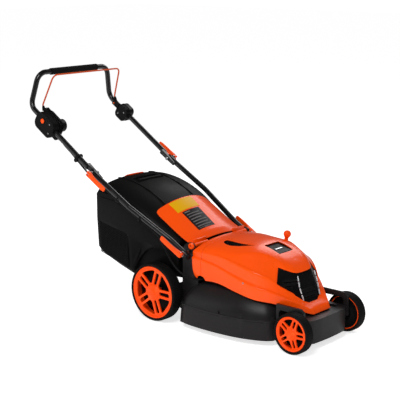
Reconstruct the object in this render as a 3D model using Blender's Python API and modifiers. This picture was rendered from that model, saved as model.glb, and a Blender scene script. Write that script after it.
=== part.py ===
"""Hand-pushed rotary mower with a corded motor, a rear grass box and a folding handle.

Tables and sizes are in millimetres in the machine frame: the ground under the front axle is its
origin, +Y runs back to the handle, +X to the mower's left, +Z up. metres() turns them into scene
units, and the empty mower_frame shifts the machine so that the world origin is under its middle.
"""
import math

import bmesh
import bpy
from mathutils import Matrix, Vector

# overall
wheelbase = 574.0
handle_rearmost = 1213.8
machine_shift = -(handle_rearmost - 70.0) / 2
running_gap = 0.4
wall = 3.0

# wheels: radius, width, outer face from the middle plane
front_radius = 70.0
front_width = 38.0
front_outer = 172.0
rear_radius = 105.0
rear_width = 48.0
rear_outer = 216.0
tyre_depth = 11.0
spoke_pairs = 5
wheel_steps = 28
axle_radius = 5.0

# cranked axles: throw of the crank, its angle above level at the lowest cut, and the tie rod
crank_throw = 40.0
crank_rise_deg = 25.0
rod_x = 84.0
lever_x = 105.0
rod_arm = 55.0
rod_arm_deg = 60.0
rod_radius = 3.0

# deck
skirt_bottom = 20.0
skirt_top = 88.0
deck_top = 165.0
blade_centre_y = 277.0
chamber_radius = 186.0
blade_length = 336.0
motor_radius = 60.0
shaft_radius = 7.5
bracket_x = 152.0

# handle
tube_radius = 10.0
lower_pivot = (452.0, 263.0)
upper_pivot = (871.0, 495.0)
lower_tube_x = 178.0
upper_tube_x = 206.0
bar_y = 1190.0
bar_z = 836.0
bar_half = 178.0
bail_pivot = (1152.0, 690.0)
bail_x = 188.0
lever_length = 98.0

# grass box and flap
box_half = 180.0
box_wall = 2.5
flap_hinge = (440.0, 286.0)
flap_half = 142.0

slope = math.atan2(upper_pivot[1] - lower_pivot[1], upper_pivot[0] - lower_pivot[0])
along = Vector((0.0, math.cos(slope), math.sin(slope)))
across = Vector((0.0, -math.sin(slope), math.cos(slope)))

for old in list(bpy.data.objects):
    bpy.data.objects.remove(old, do_unlink=True)

parts = bpy.data.collections.new("push_mower")
cutters = bpy.data.collections.new("cutters")
cutters.hide_render = True
for group in (parts, cutters):
    bpy.context.scene.collection.children.link(group)


def metres(point):
    return Vector(point) * 0.001


# one empty for each moving body, at a point of its joint axis
crank_back = crank_throw * math.cos(math.radians(crank_rise_deg))
crank_drop = crank_throw * math.sin(math.radians(crank_rise_deg))
front_shaft = (crank_back, front_radius - crank_drop)
rear_shaft = (wheelbase + crank_back, rear_radius - crank_drop)
pin_back = rod_arm * math.cos(math.radians(rod_arm_deg))
pin_up = rod_arm * math.sin(math.radians(rod_arm_deg))
front_pin = (front_shaft[0] + pin_back, front_shaft[1] + pin_up)
rear_pin = (rear_shaft[0] + pin_back, rear_shaft[1] + pin_up)
lever_pivot = (lever_x, 256.0, 216.0)
lid_flap_y = 850.0
lid_flap_z = 468.5

bodies = {
    "chassis": ("mower_frame", (0, 0, 0)),
    "front_axle_swing": ("chassis", (0, *front_shaft)),
    "rear_axle_swing": ("chassis", (0, *rear_shaft)),
    "rod_swing": ("front_axle_swing", (rod_x, *front_pin)),
    "height_swing": ("chassis", lever_pivot),
    "rotor": ("chassis", (0, blade_centre_y, 60)),
    "flap_swing": ("chassis", (0, *flap_hinge)),
    "box_slide": ("chassis", (0, 600, 250)),
    "level_swing": ("box_slide", (0, lid_flap_y, lid_flap_z)),
    "lower_fold": ("chassis", (0, *lower_pivot)),
    "upper_fold": ("lower_fold", (0, *upper_pivot)),
    "bail_swing": ("upper_fold", (0, *bail_pivot)),
    "button_slide": ("upper_fold", (-228, 1120, 664)),
}
for side, sign in (("right", -1), ("left", 1)):
    bodies[f"front_wheel_{side}"] = ("front_axle_swing", (sign * front_outer, 0, front_radius))
    bodies[f"rear_wheel_{side}"] = ("rear_axle_swing", (sign * rear_outer, wheelbase, rear_radius))
    bodies[f"lower_lever_{side}"] = ("chassis", (sign * (lower_tube_x + 24), *lower_pivot))
    bodies[f"upper_lever_{side}"] = ("lower_fold", (sign * (upper_tube_x + 24), *upper_pivot))

frame = bpy.data.objects.new("mower_frame", None)
frame.location = metres((0, machine_shift, 0))
parts.objects.link(frame)
empties = {"mower_frame": frame}
for body, (parent, spot) in bodies.items():
    empty = bpy.data.objects.new(body + "_axis", None)
    base = (0, 0, 0) if parent == "mower_frame" else bodies[parent][1]
    empty.location = metres(spot) - metres(base)
    empty.empty_display_size = 0.02
    empty.parent = empties[parent]
    parts.objects.link(empty)
    empties[body] = empty


def material(name, colour, rough=0.5, metal=0.0):
    made = bpy.data.materials.get(name) or bpy.data.materials.new(name)
    made.use_nodes = True
    shader = made.node_tree.nodes["Principled BSDF"]
    shader.inputs["Base Color"].default_value = (*colour, 1)
    shader.inputs["Roughness"].default_value = rough
    shader.inputs["Metallic"].default_value = metal
    made.diffuse_color = (*colour, 1)
    return made


looks = {
    "orange": ((1.0, 0.1, 0.0), 0.28, 0.0),
    "black": ((0.014, 0.014, 0.016), 0.45, 0.0),
    "deck": ((0.03, 0.028, 0.03), 0.4, 0.0),
    "tyre": ((0.018, 0.018, 0.02), 0.7, 0.0),
    "rim": ((1.0, 0.12, 0.01), 0.35, 0.0),
    "steel": ((0.5, 0.5, 0.52), 0.3, 1.0),
    "tube": ((0.012, 0.012, 0.014), 0.18, 0.0),
    "silver": ((0.75, 0.75, 0.77), 0.25, 1.0),
    "bail": ((0.55, 0.14, 0.04), 0.3, 0.0),
    "cable": ((0.015, 0.015, 0.017), 0.5, 0.0),
}


def finish(obj, body, look, home=parts):
    """Link an object built in machine coordinates, colour it and hang it on its body's empty."""
    home.objects.link(obj)
    obj.parent = empties[body]
    obj.location = obj.location - metres(bodies[body][1])
    if home is cutters:
        obj.display_type = "WIRE"
        obj.hide_render = True
    else:
        obj.data.materials.clear()
        colour, rough, metal = looks[look]
        obj.data.materials.append(material(look + "_" + obj.name, colour, rough, metal))
    return obj


def meshObject(name, verts, faces):
    mesh = bpy.data.meshes.new(name)
    mesh.from_pydata([metres(v) for v in verts], [], faces)
    work = bmesh.new()
    work.from_mesh(mesh)
    bmesh.ops.remove_doubles(work, verts=work.verts, dist=1e-6)
    bmesh.ops.recalc_face_normals(work, faces=work.faces)
    work.to_mesh(mesh)
    work.free()
    return bpy.data.objects.new(name, mesh)


def loft(name, rings, capped=True):
    """Skin a list of equal rings of points; a closed body when capped."""
    count = len(rings[0])
    verts = [point for ring in rings for point in ring]
    faces = []
    for r in range(len(rings) - 1):
        for i in range(count):
            j = (i + 1) % count
            faces.append((r * count + i, r * count + j, (r + 1) * count + j, (r + 1) * count + i))
    if capped:
        faces.append(tuple(range(count)))
        faces.append(tuple((len(rings) - 1) * count + i for i in range(count)))
    return meshObject(name, verts, faces)


def block(name, low, high):
    """A box between two corners."""
    mesh = bpy.data.meshes.new(name)
    work = bmesh.new()
    bmesh.ops.create_cube(work, size=1.0)
    size = metres(high) - metres(low)
    middle = (metres(high) + metres(low)) / 2
    bmesh.ops.scale(work, vec=size, verts=work.verts)
    bmesh.ops.translate(work, vec=middle, verts=work.verts)
    work.to_mesh(mesh)
    work.free()
    return bpy.data.objects.new(name, mesh)


def drum(name, start, end, radius, sides=24, radius2=None):
    """A cylinder or cone between two points."""
    mesh = bpy.data.meshes.new(name)
    work = bmesh.new()
    first = metres(start)
    axis = metres(end) - first
    bmesh.ops.create_cone(
        work, cap_ends=True, segments=sides, radius1=radius * 0.001,
        radius2=(radius if radius2 is None else radius2) * 0.001, depth=axis.length)
    turn = axis.to_track_quat("Z", "Y").to_matrix().to_4x4()
    bmesh.ops.transform(
        work, matrix=Matrix.Translation(first + axis / 2) @ turn, verts=work.verts)
    work.to_mesh(mesh)
    work.free()
    return bpy.data.objects.new(name, mesh)


def prism(name, outline, low, high, plane="YZ"):
    """An outline in the YZ or XY plane pushed from low to high along X or Z."""
    if plane == "YZ":
        rings = [[(x, y, z) for y, z in outline] for x in (low, high)]
    else:
        rings = [[(x, y, z) for x, y in outline] for z in (low, high)]
    return loft(name, rings)


def turned(name, profile, centre, axis="Z", steps=32):
    """A profile of (radius, height) turned about an axis through centre, by a Screw modifier."""
    ring = list(zip(profile, profile[1:] + profile[:1]))
    if sum(a[0] * b[1] - b[0] * a[1] for a, b in ring) > 0:
        profile = profile[::-1]
    points = [metres((r, 0, h)) for r, h in profile]
    mesh = bpy.data.meshes.new(name)
    edges = [(i, i + 1) for i in range(len(points) - 1)]
    if profile[0][0] > 0 and profile[-1][0] > 0:
        edges.append((len(points) - 1, 0))
    mesh.from_pydata(points, edges, [])
    obj = bpy.data.objects.new(name, mesh)
    obj.location = metres(centre)
    if axis == "X":
        obj.rotation_euler = (0, math.pi / 2, 0)
    if axis == "-X":
        obj.rotation_euler = (0, -math.pi / 2, 0)
    screw = obj.modifiers.new("turn", "SCREW")
    screw.steps = screw.render_steps = steps
    screw.use_merge_vertices = True
    screw.merge_threshold = 0.00005
    return obj


def rounded(points, radius, arcs=4):
    """The same path with its inner corners replaced by arcs."""
    points = [Vector(p) for p in points]
    made = [points[0]]
    for before, corner, after in zip(points, points[1:], points[2:]):
        back = (before - corner).normalized()
        ahead = (after - corner).normalized()
        half = back.angle(ahead) / 2
        reach = min(radius / math.tan(half), (before - corner).length * 0.48,
                    (after - corner).length * 0.48)
        bend = reach * math.tan(half)
        centre = corner + (back + ahead).normalized() * (bend / math.sin(half))
        first = (corner + back * reach - centre).normalized()
        last = (corner + ahead * reach - centre).normalized()
        for i in range(arcs + 1):
            made.append(centre + first.slerp(last, i / arcs) * bend)
    made.append(points[-1])
    return made


def tube(name, points, radius, bend=0.0, arcs=4, sides=2):
    """A round bar along a path, as a bevelled poly curve."""
    path = rounded(points, bend, arcs) if bend else [Vector(p) for p in points]
    curve = bpy.data.curves.new(name, "CURVE")
    curve.dimensions = "3D"
    spline = curve.splines.new("POLY")
    spline.points.add(len(path) - 1)
    for spot, point in zip(spline.points, path):
        spot.co = (*metres(point), 1)
    curve.bevel_depth = radius * 0.001
    curve.bevel_resolution = sides
    curve.use_fill_caps = True
    return bpy.data.objects.new(name, curve)


def asMesh(curve_obj):
    """The curve's bevelled shape as a closed mesh object, for pieces that take a Boolean."""
    bpy.context.scene.collection.objects.link(curve_obj)
    graph = bpy.context.evaluated_depsgraph_get()
    mesh = bpy.data.meshes.new_from_object(curve_obj.evaluated_get(graph))
    work = bmesh.new()
    work.from_mesh(mesh)
    bmesh.ops.remove_doubles(work, verts=work.verts, dist=1e-6)
    bmesh.ops.recalc_face_normals(work, faces=work.faces)
    if work.calc_volume(signed=True) < 0:
        bmesh.ops.reverse_faces(work, faces=work.faces)
    work.to_mesh(mesh)
    work.free()
    name = curve_obj.name
    bpy.data.objects.remove(curve_obj, do_unlink=True)
    made = bpy.data.objects.new(name, mesh)
    made.name = name
    return made


def boolean(target, other, operation="DIFFERENCE", body="chassis"):
    if other.name not in cutters.objects:
        finish(other, body, None, cutters)
    step = target.modifiers.new(operation.lower(), "BOOLEAN")
    step.operation = operation
    step.solver = "EXACT"
    step.object = other
    return other


def softEdges(obj, width, segments=2, angle=40):
    bevel = obj.modifiers.new("soft edges", "BEVEL")
    bevel.width = width * 0.001
    bevel.segments = segments
    bevel.limit_method = "ANGLE"
    bevel.angle_limit = math.radians(angle)
    return obj


# ---------------------------------------------------------------- wheels
def wheel(side, sign, place):
    radius, width, outer, y, z = (
        (front_radius, front_width, front_outer, 0, front_radius) if place == "front" else
        (rear_radius, rear_width, rear_outer, wheelbase, rear_radius))
    body = f"{place}_wheel_{side}"
    axis = "X" if sign > 0 else "-X"
    spot = (sign * outer, y, z)
    seat = radius - tyre_depth
    tyre = turned(f"tyre_{place}_{side}", [
        (seat, -3), (radius - 5, 0), (radius - 1, -5), (radius, -width * 0.3), (radius, -width * 0.7),
        (radius - 1, 5 - width), (radius - 5, -width), (seat, 3 - width)], spot, axis, wheel_steps)
    finish(tyre, body, "tyre")
    rim_r = seat - running_gap
    hub = 0.3 * radius
    hub_bore = axle_radius + 0.3
    rim = turned(f"rim_{place}_{side}", [
        (0, -2), (hub, -2), (hub + 2, -6), (rim_r - 6, -8), (rim_r - 5, -4), (rim_r, -4),
        (rim_r, 4 - width), (rim_r - 3, 4 - width), (rim_r - 5, -12), (hub, -11),
        (hub_bore + 6, 4 - width), (hub_bore, 4 - width), (hub_bore, -7), (0, -7)], spot, axis,
        wheel_steps)
    rings = []
    step = 2 * math.pi / spoke_pairs
    inner, outer_r = hub + 4, rim_r - 8
    for n in range(spoke_pairs):
        middle = n * step + math.pi / 2
        slot = 0.085 * radius
        rings.append([(slot * s, r) for s, r in (
            (-0.6, inner), (0.6, inner), (1, inner + 4), (1, outer_r - 3), (0.5, outer_r), (-0.5, outer_r),
            (-1, outer_r - 3), (-1, inner + 4))])
        rings[-1] = [(a * math.cos(middle) - b * math.sin(middle),
                      a * math.sin(middle) + b * math.cos(middle)) for a, b in rings[-1]]
        turn = middle + step / 2
        wide = outer_r * math.tan(step / 2) - slot - 0.13 * radius
        wedge = [(-2, inner + 4), (2, inner + 4), (wide, outer_r - 5), (wide * 0.7, outer_r - 1),
                 (-wide * 0.7, outer_r - 1), (-wide, outer_r - 5)]
        rings.append([(a * math.cos(turn) - b * math.sin(turn),
                       a * math.sin(turn) + b * math.cos(turn)) for a, b in wedge])
    verts, faces = [], []
    for ring in rings:
        first = len(verts)
        count = len(ring)
        for x in (sign * (outer + 5), sign * (outer - 20)):
            verts += [(x, y + a, z + b) for a, b in ring]
        faces.append([first + i for i in range(count)])
        faces.append([first + count + i for i in range(count)])
        faces += [(first + i, first + (i + 1) % count, first + count + (i + 1) % count,
                   first + count + i) for i in range(count)]
    boolean(rim, meshObject(f"spoke_cut_{place}_{side}", verts, faces), body=body)
    finish(rim, body, "rim")


for side, sign in (("right", -1), ("left", 1)):
    wheel(side, sign, "front")
    wheel(side, sign, "rear")


# ---------------------------------------------------------------- cranked axles and height lever
def crankedAxle(place, stub_out, arm_x, centre, shaft, pin, body):
    y, z = centre
    path = [(-stub_out, y, z), (-arm_x, y, z), (-arm_x, *shaft), (arm_x, *shaft), (arm_x, y, z),
            (stub_out, y, z)]
    wire = asMesh(tube(f"{place}_axle", path, axle_radius, 7, 3))
    reach = Vector((0, pin[0] - shaft[0], pin[1] - shaft[1])).normalized()
    square = Vector((0, -reach.z, reach.y))
    start = Vector((0, *shaft)) - reach * 2
    end = Vector((0, *pin)) + reach * 8
    outline = [start + square * 7, start - square * 7, end - square * 7, end + square * 7]
    arm = prism(f"{place}_rod_arm", [(p.y, p.z) for p in outline], rod_x + 5, rod_x + 10)
    boolean(wire, arm, "UNION", body)
    boolean(wire, drum(f"{place}_pin_hole", (rod_x, *pin), (rod_x + 15, *pin), rod_radius + 0.4, 16),
            body=body)
    finish(wire, body, "steel")


crankedAxle("front", front_outer - 9, 126, (0, front_radius), front_shaft, front_pin,
            "front_axle_swing")
crankedAxle("rear", rear_outer - 9, 159, (wheelbase, rear_radius), rear_shaft, rear_pin,
            "rear_axle_swing")
finish(tube("tie_rod", [
    (rod_x + 13, *front_pin), (rod_x, *front_pin), (rod_x, *rear_pin), (rod_x + 13, *rear_pin)],
    rod_radius, 4, 3), "rod_swing", "steel")

lever_top = (lever_x, 224.0, 330.0)
lever_foot = (lever_x, 283.0, 122.0)
lever = prism("height_lever_arm", [
    (lever_pivot[1] - 9, lever_pivot[2]), (lever_foot[1] - 8, lever_foot[2]),
    (lever_foot[1] + 8, lever_foot[2]), (lever_pivot[1] + 9, lever_pivot[2]),
    (lever_top[1] + 6, lever_top[2] - 24), (lever_top[1] - 6, lever_top[2] - 24)],
    lever_x - 1.5, lever_x + 1.5)
boolean(lever, drum("lever_peg", (rod_x + rod_radius + 1, lever_foot[1], lever_foot[2] + 6),
                    (lever_x, lever_foot[1], lever_foot[2] + 6), 3, 12), "UNION", "height_swing")
finish(lever, "height_swing", "steel")
knob = turned("height_lever_knob", [
    (0, 22), (6, 20.5), (9.5, 15), (10, 8), (8.5, 0), (8, -9), (0, -9)],
    (lever_x, lever_top[1] + 1, lever_top[2] - 23), "Z", 16)
knob.rotation_euler = (math.radians(12), 0, 0)
boolean(knob, block("knob_socket", (lever_x - 1.9, 150, 200), (lever_x + 1.9, 300, lever_top[2] - 23.6)),
        body="height_swing")
finish(knob, "height_swing", "orange")

# ---------------------------------------------------------------- deck
half_outline = [  # y, half width of the skirt, front to rear
    (84, 118), (90, 146), (109, 163), (139, 177), (188, 195), (266, 206), (354, 208), (420, 203),
    (456, 197), (468, 150)]


def deckRing(z, inset, rear_lean=0.0, out=0.0):
    ring = []
    for y, x in half_outline:
        k = (208.0 - inset) / 208.0
        yy = blade_centre_y + (y - blade_centre_y) * (190.0 - inset) / 190.0
        lean = rear_lean * max(0.0, (y - 400.0) / 64.0)
        ring.append((x * k - out, yy - lean))
    return [(-x, y, z) for x, y in ring] + [(x, y, z) for x, y in reversed(ring)]


levels = ((skirt_bottom, 0, 0), (skirt_top, 0, 8), (skirt_top + 1, 4, 8), (106, 8, 8), (126, 18, 6),
          (146, 36, 3), (158, 54, 0), (deck_top, 72, 0))
deck = loft("deck", [deckRing(z, inset, lean) for z, inset, lean in levels])
inner = [deckRing(z if z > skirt_bottom else -5, inset + wall + 0.5, lean)
         for z, inset, lean in levels[:-1]]
inner.append(deckRing(deck_top - wall, 68 + wall, 0))
deck_hollow = loft("deck_hollow", inner)

nose_outline = [(-118, 98), (-118, -6), (-108, -26), (-84, -36), (-40, -39), (0, -40), (40, -39),
                (84, -36), (108, -26), (118, -6), (118, 98)]
nose = prism("deck_nose", nose_outline, 24, 104, "XY")
nose_hollow = prism("deck_nose_hollow", [
    (-114, 80), (-114, -4), (-105, -22), (-82, -32), (-40, -35), (0, -36), (40, -35),
    (82, -32), (105, -22), (114, -4), (114, 80)], 10, 100, "XY")
boolean(deck, nose, "UNION")
boolean(deck, deck_hollow)
boolean(deck, nose_hollow)
boolean(deck, turned("chamber_roof", [
    (20, 84), (20, 88), (chamber_radius, 88), (chamber_radius, 24), (chamber_radius - 4, 24),
    (chamber_radius - 4, 84)], (0, blade_centre_y, 0), "Z", 40), "UNION")
for n, (low, high) in enumerate((
        ((-206, blade_centre_y - 2, 86), (-60, blade_centre_y + 2, 98)),
        ((60, blade_centre_y - 2, 86), (206, blade_centre_y + 2, 98)),
        ((-2, 85, 86), (2, 200, 98)), ((-2, 360, 86), (2, 392, 98)),
        ((-202, 330, 40), (-180, 334, 92)), ((180, 330, 40), (202, 334, 92)))):
    boolean(deck, block(f"deck_rib_{n}", low, high), "UNION")
for n, sign in enumerate((-1, 1)):
    inside, outside = sorted((sign * 121.0, sign * 131.0))
    boolean(deck, prism(f"carrier_bar_{n}", [
        (88, 80), (88, 146), (-10, 146), (-23, 136), (-24, 66), (-9, 66), (-8, 118), (-2, 128),
        (70, 128), (77, 120), (78, 82)], inside, outside), "UNION")
    inside, outside = sorted((sign * 104.0, sign * 125.0))
    boolean(deck, prism(f"carrier_foot_{n}", [(-23, 68), (-10, 68), (-10, 101), (-23, 101)],
                        inside, outside), "UNION")
    inside, outside = sorted((sign * 142.0, sign * 150.0))
    boolean(deck, prism(f"rear_plate_{n}", [
        (420, 60), (420, 158), (470, 158), (530, 122), (630, 116), (636, 76), (610, 68), (560, 70),
        (470, 40)], inside, outside), "UNION")
    inside, outside = sorted((sign * (bracket_x - 6), sign * bracket_x))
    ear = [(lower_pivot[0] - 4 + 34 * math.cos(a), lower_pivot[1] + 34 * math.sin(a))
           for a in (math.radians(180 - 22.5 * k) for k in range(9))]
    boolean(deck, prism(f"handle_ear_{n}", ear + [
        (lower_pivot[0] + 34, 120), (lower_pivot[0] - 38, 120)], inside, outside), "UNION")
    boolean(deck, block(f"ear_root_{n}", (min(sign * 136, sign * 149), 418, 113),
                        (max(sign * 136, sign * 149), 480, 137)), "UNION")
for n, sign in enumerate((-1, 1)):
    inside, outside = sorted((sign * 138.0, sign * 165.0))
    boolean(deck, block(f"ear_trim_{n}", (inside, 400, 172), (outside, 430, 310)))
bulkhead = [(-142, 150), (-142, 232), (-112, 262), (112, 262), (142, 232), (142, 150)]
boolean(deck, loft("rear_bulkhead", [[(x, y, z) for x, z in bulkhead] for y in (423, 427)]), "UNION")
boolean(deck, prism("duct", [
    (392, 86), (500, 250), (500, 146), (468, 34), (430, 26), (430, 80)], -76, 76), "UNION")
boolean(deck, prism("duct_hollow", [
    (360, 30), (360, 78), (396, 80), (506, 247), (506, 158), (462, 38), (448, 20), (360, 20)],
    -72, 72))
boolean(deck, drum("motor_hole", (0, blade_centre_y, 120), (0, blade_centre_y, 190),
                   motor_radius + 8, 24))
boolean(deck, drum("motor_rib_clear", (0, blade_centre_y, 88), (0, blade_centre_y, 130),
                   motor_radius + 12, 24))
boolean(deck, drum("front_axle_bore", (-130, *front_shaft), (130, *front_shaft),
                   axle_radius + 0.4, 16))
boolean(deck, drum("rear_axle_bore", (-170, *rear_shaft), (170, *rear_shaft),
                   axle_radius + 0.4, 16))
boolean(deck, block("rod_slot_front", (rod_x - 6.5, -2, 88), (rod_x + 15, 102, 118)))
boolean(deck, block("rod_slot_rear", (rod_x - 6.5, 380, 108), (rod_x + 6.5, 490, 146)))
boolean(deck, block("lever_slot_deck", (lever_x - 5, 225, 140), (lever_x + 5, 320, 175)))
boolean(deck, drum("flap_pin_bore", (-160, *flap_hinge), (160, *flap_hinge), 3.4, 16))
for n, sign in enumerate((-1, 1)):
    boolean(deck, drum(f"lower_bolt_hole_{n}", (sign * 138, *lower_pivot), (sign * 170, *lower_pivot),
                       3.4, 16))
finish(deck, "chassis", "deck")

# ---------------------------------------------------------------- hood
# Rows run front to rear along the nose, corner, cheek and side; columns from the lower edge up to
# the crown line. Each point is (half width, y, z).
hood_cage = [
    [(0, -3, 108), (49, -3, 108), (94, 56, 128), (134, 111, 145), (156, 150, 149), (157, 250, 160),
     (152, 330, 168), (160, 428, 163)],
    [(0, 12, 126), (50, 12, 124), (90, 60, 150), (130, 114, 176), (155, 152, 184), (160, 250, 192),
     (154, 330, 198), (164, 428, 196)],
    [(0, 38, 136), (50, 36, 138), (84, 70, 176), (116, 112, 204), (146, 156, 222), (155, 250, 232),
     (151, 330, 234), (164, 428, 232)],
    [(0, 58, 196), (49, 56, 198), (70, 86, 214), (98, 122, 240), (126, 168, 262), (140, 250, 272),
     (140, 330, 270), (160, 428, 258)],
    [(0, 68, 230), (46, 68, 230), (62, 92, 246), (78, 126, 266), (96, 176, 286), (110, 250, 296),
     (112, 330, 294), (136, 428, 284)],
    [(0, 100, 258), (30, 102, 258), (40, 112, 264), (48, 146, 281), (52, 186, 295), (58, 250, 305),
     (60, 330, 306), (76, 428, 298)],
    [(0, 112, 265), (0, 118, 268), (0, 126, 272), (0, 158, 286), (0, 198, 298), (0, 258, 307),
     (0, 336, 308), (0, 428, 302)],
]


def hoodShell(name, inset):
    """The hood's outer skin moved in by inset, mirrored, smoothed and given its wall."""
    rows, columns = len(hood_cage), len(hood_cage[0])
    verts = [(x, y, z) for row in hood_cage for x, y, z in row]
    faces = [(r * columns + c, r * columns + c + 1, (r + 1) * columns + c + 1, (r + 1) * columns + c)
             for r in range(rows - 1) for c in range(columns - 1)]
    mesh = bpy.data.meshes.new(name)
    mesh.from_pydata([metres(v) for v in verts], [], faces)
    mesh.update()
    if inset:
        normals = [v.normal.copy() for v in mesh.vertices]
        for v, n in zip(mesh.vertices, normals):
            n = n if n.dot(v.co - metres((0, 250, 120))) > 0 else -n
            if v.co.x < 1e-6:
                n.x = 0
            v.co -= n * inset * 0.001
    obj = bpy.data.objects.new(name, mesh)
    mirror = obj.modifiers.new("mirror", "MIRROR")
    mirror.use_axis = (True, False, False)
    mirror.merge_threshold = 0.00005
    smooth = obj.modifiers.new("smooth", "SUBSURF")
    smooth.levels = smooth.render_levels = 1
    shell = obj.modifiers.new("wall", "SOLIDIFY")
    shell.thickness = wall * 0.001
    shell.offset = 1.0
    return obj


grille_side = [(8, 229), (66, 229), (117, 257), (108, 210), (40, 136), (8, 136)]
middle = Vector((70, 190))
hood = hoodShell("motor_hood", 0)
boolean(hood, prism("grille_opening", grille_side, -170, 170))
boolean(hood, block("lever_slot", (lever_x - 5, 208, 230), (lever_x + 5, 300, 330)))
plate = block("plate_recess", (-39, -34, 0), (39, 34, 20))
plate.location = metres((0, 181, 289.5))
plate.rotation_euler = (math.radians(13), 0, 0)
boolean(hood, plate)
boolean(hood, prism("cable_notch", [(372, 150), (374, 178), (382, 187), (396, 190), (408, 184),
                                    (414, 150)], -175, -120))
finish(hood, "chassis", "orange")
grille = hoodShell("front_grille", 1.6)
small = [(p - middle) * 0.985 + middle for p in (Vector(q) for q in grille_side)]
boolean(grille, prism("grille_limit", [tuple(p) for p in small], -168, 168), "INTERSECT")
finish(grille, "chassis", "black")
plate = block("top_plate", (-37.5, -32.5, 0), (37.5, 32.5, 3.0))
plate.location = metres((0, 181, 290.2))
plate.rotation_euler = (math.radians(13), 0, 0)
softEdges(plate, 0.8, 1)
finish(plate, "chassis", "black")
for side, sign in (("right", -1), ("left", 1)):
    finish(tube(f"grille_trim_{side}", [
        (sign * 53.5, 28, 138), (sign * 54.5, 47, 196), (sign * 52, 60, 226)], 2.2), "chassis", "silver")
    boss = drum(f"flap_boss_{side}", (sign * 152.5, *flap_hinge), (sign * 161, *flap_hinge), 11, 20)
    boolean(boss, drum(f"flap_boss_bore_{side}", (sign * 140, *flap_hinge), (sign * 158, *flap_hinge),
                       3.4, 16))
    finish(boss, "chassis", "orange")

grip = turned("grip_inlay", [
    (0, 2), (60, 2), (64, 1), (66, -1), (60, -2), (0, -2)], (-54, 290, 311.5), "Z", 20)
grip.scale = (0.11, 1, 1)
finish(grip, "chassis", "black")

# ---------------------------------------------------------------- motor and cutting rotor
finish(turned("motor", [
    (0, 236), (20, 236), (22, 226), (motor_radius - 12, 222), (motor_radius, 205), (motor_radius, 97),
    (motor_radius + 8, 95), (motor_radius + 8, 89), (shaft_radius + 0.5, 89),
    (shaft_radius + 0.5, 130), (0, 130)], (0, blade_centre_y, 0), "Z", 24), "chassis", "steel")
finish(turned("motor_shaft", [(0, 126), (shaft_radius, 126), (shaft_radius, 42), (0, 42)],
              (0, blade_centre_y, 0), "Z", 20), "rotor", "steel")
fan = turned("impeller", [
    (shaft_radius + 0.3, 42), (16, 42), (16, 58), (78, 60), (78, 63), (16, 63), (16, 80),
    (shaft_radius + 0.3, 80)][::-1], (0, blade_centre_y, 0), "Z", 24)
for n in range(6):
    vane = block(f"vane_{n}", (14, -1.2, 61), (76, 1.2, 78))
    vane.location = metres((0, blade_centre_y, 0))
    vane.rotation_euler = (0, 0, n * math.pi / 3)
    boolean(fan, vane, "UNION", "rotor")
finish(fan, "rotor", "orange")
half_blade = blade_length / 2
blade_rings = []
for x, low, lift in ((-half_blade, -20, 9), (-half_blade + 46, -20, 5), (-half_blade + 62, -22, 0),
                     (half_blade - 62, -22, 0), (half_blade - 46, -20, 0), (half_blade, -20, 0)):
    far = 9 if x >= half_blade else 5 if x >= half_blade - 46 else 0
    blade_rings.append([
        (x, blade_centre_y + low, 33 + far), (x, blade_centre_y - low, 33 + lift),
        (x, blade_centre_y - low, 36 + lift), (x, blade_centre_y + low, 36 + far)])
blade = loft("blade", blade_rings)
boolean(blade, drum("blade_hole", (0, blade_centre_y, 25), (0, blade_centre_y, 45), 5.4, 16),
        body="rotor")
finish(blade, "rotor", "steel")
bolt = turned("blade_bolt", [
    (0, 40.6), (5, 40.6), (5, 32.6), (13, 32.6), (13, 30.6), (10, 30.4), (10, 23), (0, 23)],
    (0, blade_centre_y, 0), "Z", 6)
finish(bolt, "rotor", "steel")

# ---------------------------------------------------------------- rear flap
pin = drum("flap_pin", (-157, *flap_hinge), (157, *flap_hinge), 3.0, 16)
finish(pin, "chassis", "steel")
flap_rows = ((441, 303, 448, 284), (480, 333, 492, 303), (530, 366, 545, 332), (575, 396, 592, 359),
             (606, 414, 626, 377))
rings = []
for level in (0.0, -wall):
    grid = []
    for cy, cz, ey, ez in flap_rows:
        row = []
        for n in range(-4, 5):
            t = n / 4
            row.append((t * flap_half, cy + (ey - cy) * t * t, cz + (ez - cz) * abs(t) ** 2.2 + level))
        grid.append(row)
    rings.append(grid)
count, deep = 9, len(flap_rows)
verts = [p for grid in rings for row in grid for p in row]
faces = []
for layer in (0, 1):
    base = layer * count * deep
    faces += [(base + r * count + c, base + r * count + c + 1, base + (r + 1) * count + c + 1,
               base + (r + 1) * count + c) for r in range(deep - 1) for c in range(count - 1)]
border = ([c for c in range(count)] + [r * count + count - 1 for r in range(1, deep)]
          + [(deep - 1) * count + c for c in range(count - 2, -1, -1)]
          + [r * count for r in range(deep - 2, 0, -1)])
faces += [(a, b, b + count * deep, a + count * deep) for a, b in zip(border, border[1:] + border[:1])]
flap = meshObject("rear_flap", verts, faces)
for n, (low, high) in enumerate(((-141, -70), (70, 141))):
    boolean(flap, drum(f"flap_knuckle_{n}", (low, *flap_hinge), (high, *flap_hinge), 8, 16), "UNION",
            "flap_swing")
    boolean(flap, prism(f"flap_neck_{n}", [
        (flap_hinge[0] - 1, flap_hinge[1]), (flap_hinge[0] + 7, flap_hinge[1]), (452, 296), (458, 312),
        (448, 312)], low + 4, high - 4), "UNION", "flap_swing")
boolean(flap, drum("flap_knuckle_bore", (-145, *flap_hinge), (145, *flap_hinge), 3.4, 16),
        body="flap_swing")
finish(flap, "flap_swing", "orange")

# ---------------------------------------------------------------- grass box
# y, half width, bottom half width, bottom z, rim z, crown z
box_stations = ((506, 150, 140, 153, 268, 312), (545, 162, 146, 153, 298, 340),
                (600, 171, 148, 153, 326, 374), (650, 180, 150, 153, 358, 410),
                (716, 180, 168, 133, 394, 440), (790, 180, 170, 156, 418, 460),
                (860, 180, 170, 181, 424, 467), (888, 176, 166, 191, 416, 452),
                (896, 166, 158, 196, 406, 436))


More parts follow.
